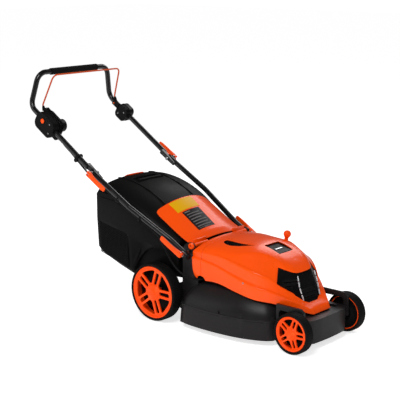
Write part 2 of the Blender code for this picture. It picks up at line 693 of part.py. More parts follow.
def boxRing(station, inset, part):
    y, half, low_half, low, rim, crown = station
    half, low_half = half - inset, low_half - inset
    if part == "tub":
        side = [(half, rim), (half, (rim + low) / 2 + 20), (low_half + 4, low + 22 + inset),
                (low_half - 14, low + inset)]
        return [(x, y, z) for x, z in side] + [(-x, y, z) for x, z in reversed(side)]
    arch = [(half * math.cos(a), rim + (crown - rim - inset) * math.sin(a) ** 0.9)
            for a in (math.radians(k * 22.5) for k in range(9))]
    return [(x, y, z) for x, z in arch]


def pulledIn(stations, inset):
    """The first and last stations moved towards the middle by the wall."""
    made = [list(s) for s in stations]
    made[0][0] += inset
    made[-1][0] -= inset
    return made


tub = loft("grass_box_tub", [boxRing(s, 0, "tub") for s in box_stations])
tub_hollow = [boxRing(s, box_wall, "tub") for s in pulledIn(box_stations, box_wall)]
tub_hollow = [[(x, y, z + 12 if i in (0, len(ring) - 1) else z) for i, (x, y, z) in enumerate(ring)]
              for ring in tub_hollow]
hollow = loft("tub_hollow", tub_hollow)
arch_profile = [(490, 256), (612, 256), (648, 236), (680, 204), (704, 164), (716, 120), (716, 60),
                (490, 60)]
arch_inner = [(480, 258.5), (613, 258.5), (650, 238), (682, 206), (706.5, 165), (718.5, 120),
              (718.5, 60), (480, 60)]
for n, sign in enumerate((-1, 1)):
    inside, outside = sorted((sign * 151.0, sign * 200.0))
    boolean(tub, prism(f"wheel_arch_{n}", arch_profile, inside, outside), body="box_slide")
    inside, outside = sorted((sign * (151.0 - box_wall), sign * 204.0))
    boolean(hollow, prism(f"arch_wall_{n}", arch_inner, inside, outside), body="box_slide")
boolean(tub, hollow, body="box_slide")
boolean(tub, block("box_mouth", (-90, 500, 158), (90, 512, 252)), body="box_slide")
finish(tub, "box_slide", "black")
lid_lift = running_gap
lid = loft("grass_box_lid", [
    [(x, y, z + lid_lift) for x, y, z in boxRing(s, 0, "lid")] for s in box_stations])
boolean(lid, loft("lid_hollow", [
    [(x, y, z - (3 if i in (0, 8) else 0)) for i, (x, y, z) in enumerate(boxRing(s, box_wall, "lid"))]
    for s in pulledIn(box_stations, box_wall)]), body="box_slide")
boolean(lid, block("grip_pocket", (-62, 775, 440), (62, 818, 480)), body="box_slide")
finish(lid, "box_slide", "black")
bar = block("grass_box_grip", (-61.5, 780, 447), (61.5, 798, 463))
softEdges(bar, 4, 2)
finish(bar, "box_slide", "black")
level = block("level_flap", (-34, lid_flap_y, lid_flap_z), (34, lid_flap_y + 34, lid_flap_z + 3))
softEdges(level, 1.2, 2)
finish(level, "level_swing", "orange")

# ---------------------------------------------------------------- handle
rise = math.tan(slope)


def onLower(y):
    return lower_pivot[1] + (y - lower_pivot[0]) * rise


def quickRelease(place, side, sign, tube_x, pivot, down, bolt_body):
    """A bolt through the joint with an eye at its outer end, and the cam lever that turns on it."""
    eye_x = sign * (tube_x + 24)
    inner = bracket_x - 14 if place == "lower" else upper_tube_x - 21
    bolt = drum(f"{place}_bolt_{side}", (sign * inner, *pivot), (eye_x, *pivot), 3.0, 12)
    head = drum(f"{place}_head_{side}", (sign * (inner - 3), *pivot), (sign * (inner + 4.5), *pivot),
                6.5, 6)
    boolean(bolt, head, "UNION", bolt_body)
    cup = drum(f"{place}_cup_{side}", (sign * (tube_x + 10.5), *pivot), (sign * (tube_x + 14), *pivot),
               10, 20)
    boolean(bolt, cup, "UNION", bolt_body)
    if place == "lower":
        collar = drum(f"{place}_collar_{side}", (sign * (bracket_x + 0.4), *pivot),
                      (sign * (tube_x - 10.4), *pivot), 8, 20)
        boolean(bolt, collar, "UNION", bolt_body)
    centre = Vector((eye_x, *pivot))
    boolean(bolt, drum(f"{place}_eye_{side}", centre - across * 3, centre + across * 3, 5.0, 16),
            "UNION", bolt_body)
    boolean(bolt, drum(f"{place}_barrel_{side}", centre - across * 9, centre + across * 9, 2.5, 12),
            "UNION", bolt_body)
    finish(bolt, bolt_body, "steel")
    lever_body = f"{place}_lever_{side}"
    way = -along if down else along
    out = Vector((sign, 0, 0))

    def at(u, x, v):
        return centre + way * u + out * x + across * v

    handle = loft(f"{place}_lever_{side}", [
        [at(u, x + dx, v) for x, v in ((-tx, -w), (tx, -w), (tx, w), (-tx, w))]
        for u, dx, tx, w in ((-7, 0, 6, 8.5), (8, 0, 7, 9), (26, 3, 4.5, 8.5), (60, 5, 3, 9),
                             (88, 4, 3, 10), (lever_length, 4, 2.4, 6))])
    softEdges(handle, 1.6, 1)
    boolean(handle, loft(f"{place}_fork_{side}", [
        [at(u, x, v) for x, v in ((-12, -3.6), (12, -3.6), (12, 3.6), (-12, 3.6))]
        for u in (-12, 7)]), body=lever_body)
    boolean(handle, drum(f"{place}_lever_bore_{side}", centre - across * 12, centre + across * 12, 2.9,
                         12), body=lever_body)
    finish(handle, lever_body, "orange")


for side, sign in (("right", -1), ("left", 1)):
    path = [(sign * lower_tube_x, 431, onLower(431)), (sign * lower_tube_x, 515, onLower(515)),
            (sign * upper_tube_x, 690, onLower(690)), (sign * upper_tube_x, 881, onLower(881))]
    bar = asMesh(tube(f"lower_tube_{side}", path, tube_radius, 90, 3, 3))
    for n, (x, spot) in enumerate(((lower_tube_x, lower_pivot), (upper_tube_x, upper_pivot))):
        boolean(bar, drum(f"tube_bore_{side}_{n}", (sign * (x - 14), *spot), (sign * (x + 14), *spot),
                          3.4, 12), body="lower_fold")
    finish(bar, "lower_fold", "tube")
    quickRelease("lower", side, sign, lower_tube_x, lower_pivot, False, "chassis")
    quickRelease("upper", side, sign, upper_tube_x, upper_pivot, side == "right", "lower_fold")

arm_slope = math.atan2(212.0, 330.0)
arm_way = Vector((0, math.cos(arm_slope), math.sin(arm_slope)))
joint = Vector((0, *upper_pivot))
arm_start = joint + arm_way * 33
arm_bend = joint + arm_way * 400
path = [(-upper_tube_x, *arm_start.yz), (-upper_tube_x, *arm_bend.yz), (-bar_half, bar_y, bar_z),
        (bar_half, bar_y, bar_z), (upper_tube_x, *arm_bend.yz), (upper_tube_x, *arm_start.yz)]
upper = asMesh(tube("upper_tube", path, tube_radius, 42, 5, 3))
tongue_x = upper_tube_x - tube_radius - running_gap
for n, sign in enumerate((-1, 1)):
    centre = Vector((0, *upper_pivot))
    square = Vector((0, -arm_way.z, arm_way.y))
    rings = []
    for u, tall, low_x, high_x in ((-36, 5, 5.2, 0), (-30, 9, 5.2, 0), (27, 9.5, 5.2, 0),
                                   (44, 9.0, 6.0, -14)):
        spot = centre + arm_way * u
        rings.append([
            (sign * (tongue_x - low_x), *(spot - square * tall).yz),
            (sign * (tongue_x - high_x), *(spot - square * tall).yz),
            (sign * (tongue_x - high_x), *(spot + square * tall).yz),
            (sign * (tongue_x - low_x), *(spot + square * tall).yz)])
    boolean(upper, loft(f"tongue_{n}", rings), "UNION", "upper_fold")
    boolean(upper, drum(f"tongue_bore_{n}", (sign * (tongue_x - 10), *upper_pivot),
                        (sign * (tongue_x + 2), *upper_pivot), 3.4, 12), body="upper_fold")
finish(upper, "upper_fold", "tube")


def onArm(u, x=0.0, square=0.0):
    """A point u along the upper arm from its joint, square above it."""
    spot = joint + arm_way * u + Vector((0, -arm_way.z, arm_way.y)) * square
    return Vector((x, spot.y, spot.z))


def armBlock(name, u0, u1, x0, x1, s0, s1, chamfer=0.0):
    outline = [(u0 + chamfer, s0), (u1 - chamfer, s0), (u1, s0 + chamfer), (u1, s1 - chamfer),
               (u1 - chamfer, s1), (u0 + chamfer, s1), (u0, s1 - chamfer), (u0, s0 + chamfer)]
    return loft(name, [[onArm(u, x, s) for u, s in outline] for x in (x0, x1)])


def armChannel(name, sign):
    return drum(name, onArm(60, sign * upper_tube_x), onArm(460, sign * upper_tube_x),
                tube_radius + running_gap, 24)


def bailLug(sign):
    """The bail's bearing, standing off the inner end of a handle box."""
    inside, outside = sorted((sign * 177.6, sign * 181.6))
    return armBlock(f"bail_lug_{sign}", 316, 351, inside, outside, 3, 21, 4)


def bailBore(sign):
    return drum(f"bail_bore_{sign}", (sign * 174, *bail_pivot), (sign * 184, *bail_pivot), 3.4, 16)


switch = armBlock("switch_box", 236, 338, -227, -172, -34, 34, 14)
softEdges(switch, 4, 2)
boolean(switch, armChannel("switch_channel", -1), body="upper_fold")
boolean(switch, drum("socket_seat", onArm(275, -180, -4), onArm(275, -165, -4), 20.4, 28),
        body="upper_fold")
boolean(switch, bailLug(-1), "UNION", "upper_fold")
boolean(switch, bailBore(-1), body="upper_fold")
boolean(switch, drum("button_seat", (-232, 1120, 664), (-217.2, 1120, 664), 9.4, 20),
        body="upper_fold")
finish(switch, "upper_fold", "black")
finish(turned("inlet_socket", [
    (0, 0), (20, 0), (20, 6), (23, 8), (23, 36), (19, 38), (17, 38), (17, 10), (0, 10)],
    onArm(275, -177.6, -4), "X", 28), "upper_fold", "black")
gland_start = onArm(233, -186, -22)
gland_end = onArm(205, -186, -25)
gland = drum("cable_gland", gland_start, gland_end, 6, 16, 4.5)
finish(gland, "upper_fold", "black")
bail_box = armBlock("bail_box", 258, 326, 177, 227, -30, 30, 16)
softEdges(bail_box, 4, 2)
boolean(bail_box, bailLug(1), "UNION", "upper_fold")
boolean(bail_box, bailBore(1), body="upper_fold")
boolean(bail_box, armChannel("bail_channel", 1), body="upper_fold")
finish(bail_box, "upper_fold", "black")
finish(turned("lock_button", [(0, 0), (9, 0), (9, 7), (7, 9.5), (0, 10.5)], (-220, 1120, 664), "-X", 20),
       "button_slide", "orange")

sleeve = turned("grip_sleeve", [
    (tube_radius + 0.3, -120), (tube_radius + 2.6, -119), (tube_radius + 2.6, 119),
    (tube_radius + 0.3, 120)], (0, bar_y, bar_z), "X", 24)
finish(sleeve, "upper_fold", "black")

bail_foot = Vector((0, *bail_pivot))
finish(tube("bail", [
    (-bail_x + 13, *bail_pivot), (-bail_x, *bail_pivot), (-bail_x - 1, 1160, 716), (-172, 1112, 832),
    (172, 1112, 832), (bail_x + 1, 1160, 716), (bail_x, *bail_pivot), (bail_x - 13, *bail_pivot)],
    3.0, 22, 4), "bail_swing", "bail")

# ---------------------------------------------------------------- cable
cable_r = 3.0
u_clip = 92.0
finish(tube("cable_upper", [
    gland_end - (gland_start - gland_end).normalized() * 1.0,
    onArm(180, -190, -24), onArm(140, -198, -18), onArm(u_clip, -206, -14.5), onArm(70, -206, -16)],
    cable_r, 20, 3, 1), "upper_fold", "cable")
clip = armBlock("cable_clip", 84, 98, -218, -194, -19, 12, 3)
boolean(clip, armChannel("clip_channel", -1), body="upper_fold")
boolean(clip, drum("clip_cable_bore", onArm(60, -206, -15.4), onArm(120, -206, -14), cable_r + 1.4, 16),
        body="upper_fold")
finish(clip, "upper_fold", "black")
finish(tube("cable_loop", [
    onArm(69, -206, -16), (-207, 905, 496), (-209, 862, 468), (-207, 820, 449),
    (-206, 780, onLower(780) - 17), (-206, 720, onLower(720) - 16)], cable_r, 25, 3, 1),
    "lower_fold", "cable")
finish(tube("cable_lower", [
    (-206, 719, onLower(719) - 16), (-203, 690, onLower(690) - 16), (-192, 600, onLower(600) - 17),
    (-187, 565, onLower(565) - 20)], cable_r, 25, 3, 1), "lower_fold", "cable")
finish(tube("cable_tail", [
    (-187, 564, onLower(564) - 20.5), (-190, 532, 268), (-190, 500, 225), (-186, 462, 193), (-176, 424, 178),
    (-168, 396, 177), (-140, 380, 177), (-66, 318, 182)], cable_r, 25, 3, 1), "chassis", "cable")
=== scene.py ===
import math
import bmesh
import bpy
from mathutils import Matrix, Vector


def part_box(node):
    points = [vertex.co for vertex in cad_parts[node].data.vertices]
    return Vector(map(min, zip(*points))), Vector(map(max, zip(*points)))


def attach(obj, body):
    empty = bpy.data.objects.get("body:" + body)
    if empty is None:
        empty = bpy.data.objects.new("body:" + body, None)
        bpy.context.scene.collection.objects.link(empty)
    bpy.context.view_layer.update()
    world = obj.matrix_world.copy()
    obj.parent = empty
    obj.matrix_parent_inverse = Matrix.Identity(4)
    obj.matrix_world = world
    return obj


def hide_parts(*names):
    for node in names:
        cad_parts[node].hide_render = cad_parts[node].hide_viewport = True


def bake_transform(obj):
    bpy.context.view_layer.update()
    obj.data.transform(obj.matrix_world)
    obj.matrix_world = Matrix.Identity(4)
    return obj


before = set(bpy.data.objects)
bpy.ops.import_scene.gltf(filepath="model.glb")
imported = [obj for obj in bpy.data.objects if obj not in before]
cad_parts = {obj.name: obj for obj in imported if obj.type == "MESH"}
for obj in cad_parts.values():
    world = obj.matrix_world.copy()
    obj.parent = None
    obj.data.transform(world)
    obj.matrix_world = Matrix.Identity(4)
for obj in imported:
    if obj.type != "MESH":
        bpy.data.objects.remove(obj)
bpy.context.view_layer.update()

wheelLow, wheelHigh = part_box("tyre_front_left")
axleY = (wheelLow.y + wheelHigh.y) / 2  # the ground under the front axle is where the sizes below start
mm = 0.001


def spot(x, y, z):
    return Vector((x * mm, axleY + y * mm, z * mm))


# camera
cameraSet = {"place": (-2.897, -2.5759, 1.258), "azimuth": -48.75, "elevation": 12.42, "lens": 98.85}
cameraData = bpy.data.cameras.new("camera")
cameraData.lens = cameraSet["lens"]
cameraData.sensor_width = 36
cameraData.clip_end = 60
camera = bpy.data.objects.new("camera", cameraData)
camera.location = cameraSet["place"]
camera.rotation_euler = (math.radians(90 - cameraSet["elevation"]), 0, math.radians(cameraSet["azimuth"]))
bpy.context.scene.collection.objects.link(camera)
bpy.context.scene.camera = camera

# floor and light
studio = {"floor": (0.86, 0.86, 0.86), "floorGlow": 0.7, "glowInReflections": 0.15, "backdrop": 1.12,
          "world": 0.34, "calm": 0.85, "key": 62, "fill": 16, "rim": 24}
bpy.ops.object.select_all(action="DESELECT")
bpy.ops.mesh.primitive_plane_add(size=40, location=(0, 0, 0))
floor = bpy.context.object
floor.name = "floor"
floorPaint = bpy.data.materials.new("palePaper")
floorPaint.use_nodes = True
floorShader = floorPaint.node_tree.nodes["Principled BSDF"]
floorShader.inputs["Base Color"].default_value = (*studio["floor"], 1)
floorShader.inputs["Roughness"].default_value = 0.9
floorShader.inputs["Specular IOR Level"].default_value = 0.0
floorShader.inputs["Emission Color"].default_value = (1, 1, 1, 1)
floorSees = floorPaint.node_tree.nodes.new("ShaderNodeLightPath")
floorLevel = floorPaint.node_tree.nodes.new("ShaderNodeMapRange")  # glows less in the reflections
floorLevel.inputs["To Min"].default_value = studio["floorGlow"]
floorLevel.inputs["To Max"].default_value = studio["floorGlow"] * studio["glowInReflections"]
floorPaint.node_tree.links.new(floorSees.outputs["Is Glossy Ray"], floorLevel.inputs["Value"])
floorPaint.node_tree.links.new(floorLevel.outputs["Result"], floorShader.inputs["Emission Strength"])
floor.data.materials.append(floorPaint)
world = bpy.data.worlds.new("studio")
world.use_nodes = True
worldNodes, worldLinks = world.node_tree.nodes, world.node_tree.links
worldNodes["Background"].inputs["Color"].default_value = (1, 1, 1, 1)
sees = worldNodes.new("ShaderNodeLightPath")
level = worldNodes.new("ShaderNodeMapRange")  # the backdrop stays white while the room light is softer
level.inputs["To Min"].default_value = studio["world"]
level.inputs["To Max"].default_value = studio["backdrop"]
worldLinks.new(sees.outputs["Is Camera Ray"], level.inputs["Value"])
calm = worldNodes.new("ShaderNodeMath")  # less of the room in the reflections, so the colours stay deep
calm.operation = "MULTIPLY_ADD"
calm.inputs[1].default_value = -studio["world"] * studio["calm"]
worldLinks.new(sees.outputs["Is Glossy Ray"], calm.inputs[0])
worldLinks.new(level.outputs["Result"], calm.inputs[2])
worldLinks.new(calm.outputs["Value"], worldNodes["Background"].inputs["Strength"])
bpy.context.scene.world = world
bpy.context.scene.view_settings.view_transform = "Standard"
for lampName, place, aim, power, size in (
        ("keyLight", (-2.2, -1.0, 2.9), (0, 0, 0.3), studio["key"], 1.6),
        ("fillLight", (-2.6, 2.4, 1.4), (0, 0.2, 0.4), studio["fill"], 2.0),
        ("rimLight", (2.4, 0.6, 2.2), (0, 0, 0.3), studio["rim"], 1.5)):
    lampData = bpy.data.lights.new(lampName, "AREA")
    lampData.energy = power
    lampData.size = size
    lamp = bpy.data.objects.new(lampName, lampData)
    lamp.location = place
    lamp.rotation_euler = (Vector(aim) - Vector(place)).to_track_quat("-Z", "Y").to_euler()
    bpy.context.scene.collection.objects.link(lamp)
print("studio ready")


# ways of working that every piece shares
def nothingSelected():
    if bpy.context.object and bpy.context.object.mode != "OBJECT":
        bpy.ops.object.mode_set(mode="OBJECT")
    bpy.ops.object.select_all(action="DESELECT")


def only(obj):
    nothingSelected()
    obj.select_set(True)
    bpy.context.view_layer.objects.active = obj


def editing(obj, rule=None, kind="FACE"):
    only(obj)
    bpy.ops.object.mode_set(mode="EDIT")
    bpy.ops.mesh.select_mode(type=kind)
    bpy.ops.mesh.select_all(action="DESELECT")
    if rule:
        work = bmesh.from_edit_mesh(obj.data)
        for face in work.faces:
            face.select_set(bool(rule(face)))
        bmesh.update_edit_mesh(obj.data)


def leaveEditing():
    bpy.ops.object.mode_set(mode="OBJECT")


def applyAll(obj):
    only(obj)
    for modifier in list(obj.modifiers):
        bpy.ops.object.modifier_apply(modifier=modifier.name)


def settle(obj):
    only(obj)
    bpy.ops.object.transform_apply(location=True, rotation=True, scale=True)


def merged(obj, distance=0.02):
    editing(obj)
    bpy.ops.mesh.select_all(action="SELECT")
    bpy.ops.mesh.remove_doubles(threshold=distance * mm)
    bpy.ops.mesh.normals_make_consistent(inside=False)
    leaveEditing()


def smooth(obj, angle=32):
    only(obj)
    bpy.ops.object.shade_smooth_by_angle(angle=math.radians(angle))


def softened(obj, width, segments=2, angle=35):
    edge = obj.modifiers.new("softened", "BEVEL")
    edge.width = width * mm
    edge.segments = segments
    edge.limit_method = "ANGLE"
    edge.angle_limit = math.radians(angle)
    edge.use_clamp_overlap = True
    applyAll(obj)


def cutBy(obj, cutter, operation="DIFFERENCE", tangled=False):
    step = obj.modifiers.new("cut", "BOOLEAN")
    step.use_self = tangled
    step.operation = operation
    step.solver = "EXACT"
    step.object = cutter
    applyAll(obj)
    bpy.data.objects.remove(cutter, do_unlink=True)


def slab(name, low, high):
    nothingSelected()
    middle = (spot(*low) + spot(*high)) / 2
    bpy.ops.mesh.primitive_cube_add(size=1, location=middle)
    obj = bpy.context.object
    obj.name = name
    obj.scale = spot(*high) - spot(*low)
    settle(obj)
    return obj


def turnedBody(name, centre, profile, segments=48, along="Z", closed=False):
    nothingSelected()
    tiny = 0.004
    radius, offset = profile[0]
    radius = max(radius, tiny)
    bpy.ops.mesh.primitive_circle_add(vertices=segments, radius=radius * mm, fill_type="NOTHING",
                                      location=(0, 0, offset * mm))
    obj = bpy.context.object
    obj.name = name
    settle(obj)
    bpy.ops.object.mode_set(mode="EDIT")
    bpy.ops.mesh.select_mode(type="EDGE")
    bpy.ops.mesh.select_all(action="SELECT")
    for nextRadius, nextOffset in profile[1:]:
        nextRadius = max(nextRadius, tiny)
        bpy.ops.mesh.extrude_region_move(TRANSFORM_OT_translate={"value": (0, 0, (nextOffset - offset) * mm)})
        bpy.ops.transform.resize(value=(nextRadius / radius, nextRadius / radius, 1),
                                 center_override=(0, 0, nextOffset * mm))
        radius, offset = nextRadius, nextOffset
    if closed:
        bpy.ops.mesh.select_all(action="SELECT")
        bpy.ops.mesh.region_to_loop()
        bpy.ops.mesh.bridge_edge_loops()
    leaveEditing()
    merged(obj, 0.03)
    if along == "X":
        obj.rotation_euler = (0, math.pi / 2, 0)
    if along == "-X":
        obj.rotation_euler = (0, -math.pi / 2, 0)
    if isinstance(along, Vector):
        obj.rotation_euler = along.to_track_quat("Z", "Y").to_euler()
    obj.location = centre
    settle(obj)
    return obj


def roundedPath(points, bend, arcs=8):
    points = [Vector(p) for p in points]
    path = [points[0]]
    for before, corner, after in zip(points, points[1:], points[2:]):
        back = (before - corner).normalized()
        ahead = (after - corner).normalized()
        half = back.angle(ahead) / 2
        room = min((before - corner).length, (after - corner).length) * 0.48
        reach = min(bend * mm / math.tan(half), room)
        swing = reach * math.tan(half)
        centre = corner + (back + ahead).normalized() * (swing / math.sin(half))
        first = (corner + back * reach - centre).normalized()
        last = (corner + ahead * reach - centre).normalized()
        path += [centre + first.slerp(last, i / arcs).normalized() * swing for i in range(arcs + 1)]
    return path + [points[-1]]


def bentTube(name, points, radius, bend=0, sides=6, arcs=8):
    nothingSelected()
    path = roundedPath(points, bend, arcs) if bend else [Vector(p) for p in points]
    bpy.ops.curve.primitive_nurbs_path_add(location=(0, 0, 0))
    obj = bpy.context.object
    obj.name = name
    curve = obj.data
    curve.splines.clear()
    line = curve.splines.new("POLY")
    line.points.add(len(path) - 1)
    for point, place in zip(line.points, path):
        point.co = (*place, 1)
    curve.dimensions = "3D"
    curve.bevel_depth = radius * mm
    curve.bevel_resolution = sides
    curve.use_fill_caps = True
    bpy.ops.object.convert(target="MESH")
    obj = bpy.context.object
    merged(obj, 0.01)
    smooth(obj, 50)
    return obj


def cageSurface(name, rows, creases=(), levels=3, mirror=True):
    nothingSelected()
    deep, wide = len(rows), len(rows[0])
    bpy.ops.mesh.primitive_grid_add(x_subdivisions=wide - 1, y_subdivisions=deep - 1, size=1)
    obj = bpy.context.object
    obj.name = name
    order = sorted(range(deep * wide), key=lambda i: (round(obj.data.vertices[i].co.y, 4),
                                                      round(obj.data.vertices[i].co.x, 4)))
    where = {}
    for n, index in enumerate(order):
        obj.data.vertices[index].co = spot(*rows[n // wide][n % wide])
        where[(n // wide, n % wide)] = index
    if creases:
        store = obj.data.attributes.new("crease_edge", "FLOAT", "EDGE")
        pairs = {}
        for first, last, amount in creases:
            pairs[frozenset((where[first], where[last]))] = amount
        for edge in obj.data.edges:
            store.data[edge.index].value = pairs.get(frozenset(edge.vertices), 0.0)
    if mirror:
        twin = obj.modifiers.new("twin", "MIRROR")
        twin.merge_threshold = 0.0001
    if levels:
        round_ = obj.modifiers.new("round", "SUBSURF")
        round_.levels = round_.render_levels = levels
    applyAll(obj)
    return obj


def wallOf(obj, thickness, offset=-1):
    merged(obj, 0.01)
    shell = obj.modifiers.new("wall", "SOLIDIFY")
    shell.thickness = thickness * mm
    shell.offset = offset
    applyAll(obj)


def softCopy(node, name, width=0.8, segments=2, dissolve=True):
    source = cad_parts[node]
    obj = bpy.data.objects.new(name, source.data.copy())
    bpy.context.scene.collection.objects.link(obj)
    editing(obj)
    bpy.ops.mesh.select_all(action="SELECT")
    bpy.ops.mesh.remove_doubles(threshold=0.01 * mm)
    if dissolve:
        bpy.ops.mesh.dissolve_limited(angle_limit=math.radians(1))
    leaveEditing()
    if width:
        softened(obj, width, segments)
    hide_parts(node)
    return obj


def joined(name, *objs):
    only(objs[0])
    for obj in objs:
        obj.select_set(True)
    bpy.ops.object.join()
    made = bpy.context.object
    made.name = name
    return made


def copied(obj, name, matrix):
    made = obj.copy()
    made.data = obj.data.copy()
    made.name = name
    bpy.context.scene.collection.objects.link(made)
    made.data.transform(matrix)
    if matrix.determinant() < 0:
        made.data.flip_normals()
    return made


def fitted(obj, body, finish, *nodes, slot=None):
    obj.data.materials.clear()
    obj.data.materials.append(finishes[finish])
    if nodes:
        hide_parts(*nodes)
    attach(obj, body)
    return obj


mirrorX = Matrix.Scale(-1, 4, (1, 0, 0))


# finishes
def newGroup(name, inputs, outputs):
    group = bpy.data.node_groups.new(name, "ShaderNodeTree")
    for title, kind, value in inputs:
        socket = group.interface.new_socket(name=title, in_out="INPUT", socket_type=kind)
        if value is not None:
            socket.default_value = value
    for title, kind in outputs:
        group.interface.new_socket(name=title, in_out="OUTPUT", socket_type=kind)
    return group, group.nodes.new("NodeGroupInput"), group.nodes.new("NodeGroupOutput")


def calc(nodes, links, operation, first, second=None, clamp=False):
    node = nodes.new("ShaderNodeMath")
    node.operation = operation
    node.use_clamp = clamp
    for socket, value in zip(node.inputs, (first, second)):
        if value is None:
            continue
        if isinstance(value, (int, float)):
            socket.default_value = value
        else:
            links.new(value, socket)
    return node.outputs[0]


def mouldedGrain():
    group, given, put = newGroup("mouldedGrain", [
        ("Vector", "NodeSocketVector", None), ("Scale", "NodeSocketFloat", 900.0),
        ("Depth", "NodeSocketFloat", 0.3)], [("Height", "NodeSocketFloat")])
    nodes, links = group.nodes, group.links
    pits = nodes.new("ShaderNodeTexVoronoi")
    pits.feature = "SMOOTH_F1"
    swell = nodes.new("ShaderNodeTexNoise")
    swell.inputs["Detail"].default_value = 5
    links.new(given.outputs["Vector"], pits.inputs["Vector"])
    links.new(given.outputs["Vector"], swell.inputs["Vector"])
    links.new(given.outputs["Scale"], pits.inputs["Scale"])
    links.new(calc(nodes, links, "MULTIPLY", given.outputs["Scale"], 0.4), swell.inputs["Scale"])
    both = calc(nodes, links, "ADD", pits.outputs["Distance"], swell.outputs["Fac"])
    links.new(calc(nodes, links, "MULTIPLY", both, given.outputs["Depth"]), put.inputs["Height"])
    return group


def rubbedEdges():
    group, given, put = newGroup("rubbedEdges", [
        ("Vector", "NodeSocketVector", None), ("Amount", "NodeSocketFloat", 0.5)],
        [("Mask", "NodeSocketFloat")])
    nodes, links = group.nodes, group.links
    shape = nodes.new("ShaderNodeNewGeometry")
    spread = nodes.new("ShaderNodeMapRange")
    spread.inputs["From Min"].default_value = 0.53
    spread.inputs["From Max"].default_value = 0.66
    links.new(shape.outputs["Pointiness"], spread.inputs["Value"])
    patch = nodes.new("ShaderNodeTexNoise")
    patch.inputs["Scale"].default_value = 60
    patch.inputs["Detail"].default_value = 6
    links.new(given.outputs["Vector"], patch.inputs["Vector"])
    broken = calc(nodes, links, "MULTIPLY", spread.outputs["Result"], patch.outputs["Fac"])
    links.new(calc(nodes, links, "MULTIPLY", broken, given.outputs["Amount"], True), put.inputs["Mask"])
    return group


def settledDust():
    group, given, put = newGroup("settledDust", [
        ("Vector", "NodeSocketVector", None), ("Amount", "NodeSocketFloat", 0.2)],
        [("Mask", "NodeSocketFloat")])
    nodes, links = group.nodes, group.links
    shape = nodes.new("ShaderNodeNewGeometry")
    parts = nodes.new("ShaderNodeSeparateXYZ")
    links.new(shape.outputs["Normal"], parts.inputs["Vector"])
    level = nodes.new("ShaderNodeMapRange")
    level.inputs["From Min"].default_value = 0.3
    level.inputs["From Max"].default_value = 1.0
    links.new(parts.outputs["Z"], level.inputs["Value"])
    patch = nodes.new("ShaderNodeTexNoise")
    patch.inputs["Scale"].default_value = 14
    patch.inputs["Detail"].default_value = 8
    links.new(given.outputs["Vector"], patch.inputs["Vector"])
    both = calc(nodes, links, "MULTIPLY", level.outputs["Result"], patch.outputs["Fac"])
    links.new(calc(nodes, links, "MULTIPLY", both, given.outputs["Amount"], True), put.inputs["Mask"])
    return group


def driftedColour():
    group, given, put = newGroup("driftedColour", [
        ("Vector", "NodeSocketVector", None), ("Colour", "NodeSocketColor", (1, 1, 1, 1)),
        ("Tint", "NodeSocketColor", (1, 1, 1, 1)), ("Scale", "NodeSocketFloat", 8.0),
        ("Amount", "NodeSocketFloat", 0.4)],
        [("Colour", "NodeSocketColor"), ("Cloud", "NodeSocketFloat")])
    nodes, links = group.nodes, group.links
    cloud = nodes.new("ShaderNodeTexNoise")
    cloud.inputs["Detail"].default_value = 6
    links.new(given.outputs["Vector"], cloud.inputs["Vector"])
    links.new(given.outputs["Scale"], cloud.inputs["Scale"])
    mix = nodes.new("ShaderNodeMix")
    mix.data_type = "RGBA"
    links.new(calc(nodes, links, "MULTIPLY", cloud.outputs["Fac"], given.outputs["Amount"], True),
              mix.inputs["Factor"])
    links.new(given.outputs["Colour"], mix.inputs[6])
    links.new(given.outputs["Tint"], mix.inputs[7])
    links.new(mix.outputs[2], put.inputs["Colour"])
    links.new(cloud.outputs["Fac"], put.inputs["Cloud"])
    return group


groups = {"grain": mouldedGrain(), "wear": rubbedEdges(), "dust": settledDust(), "drift": driftedColour()}


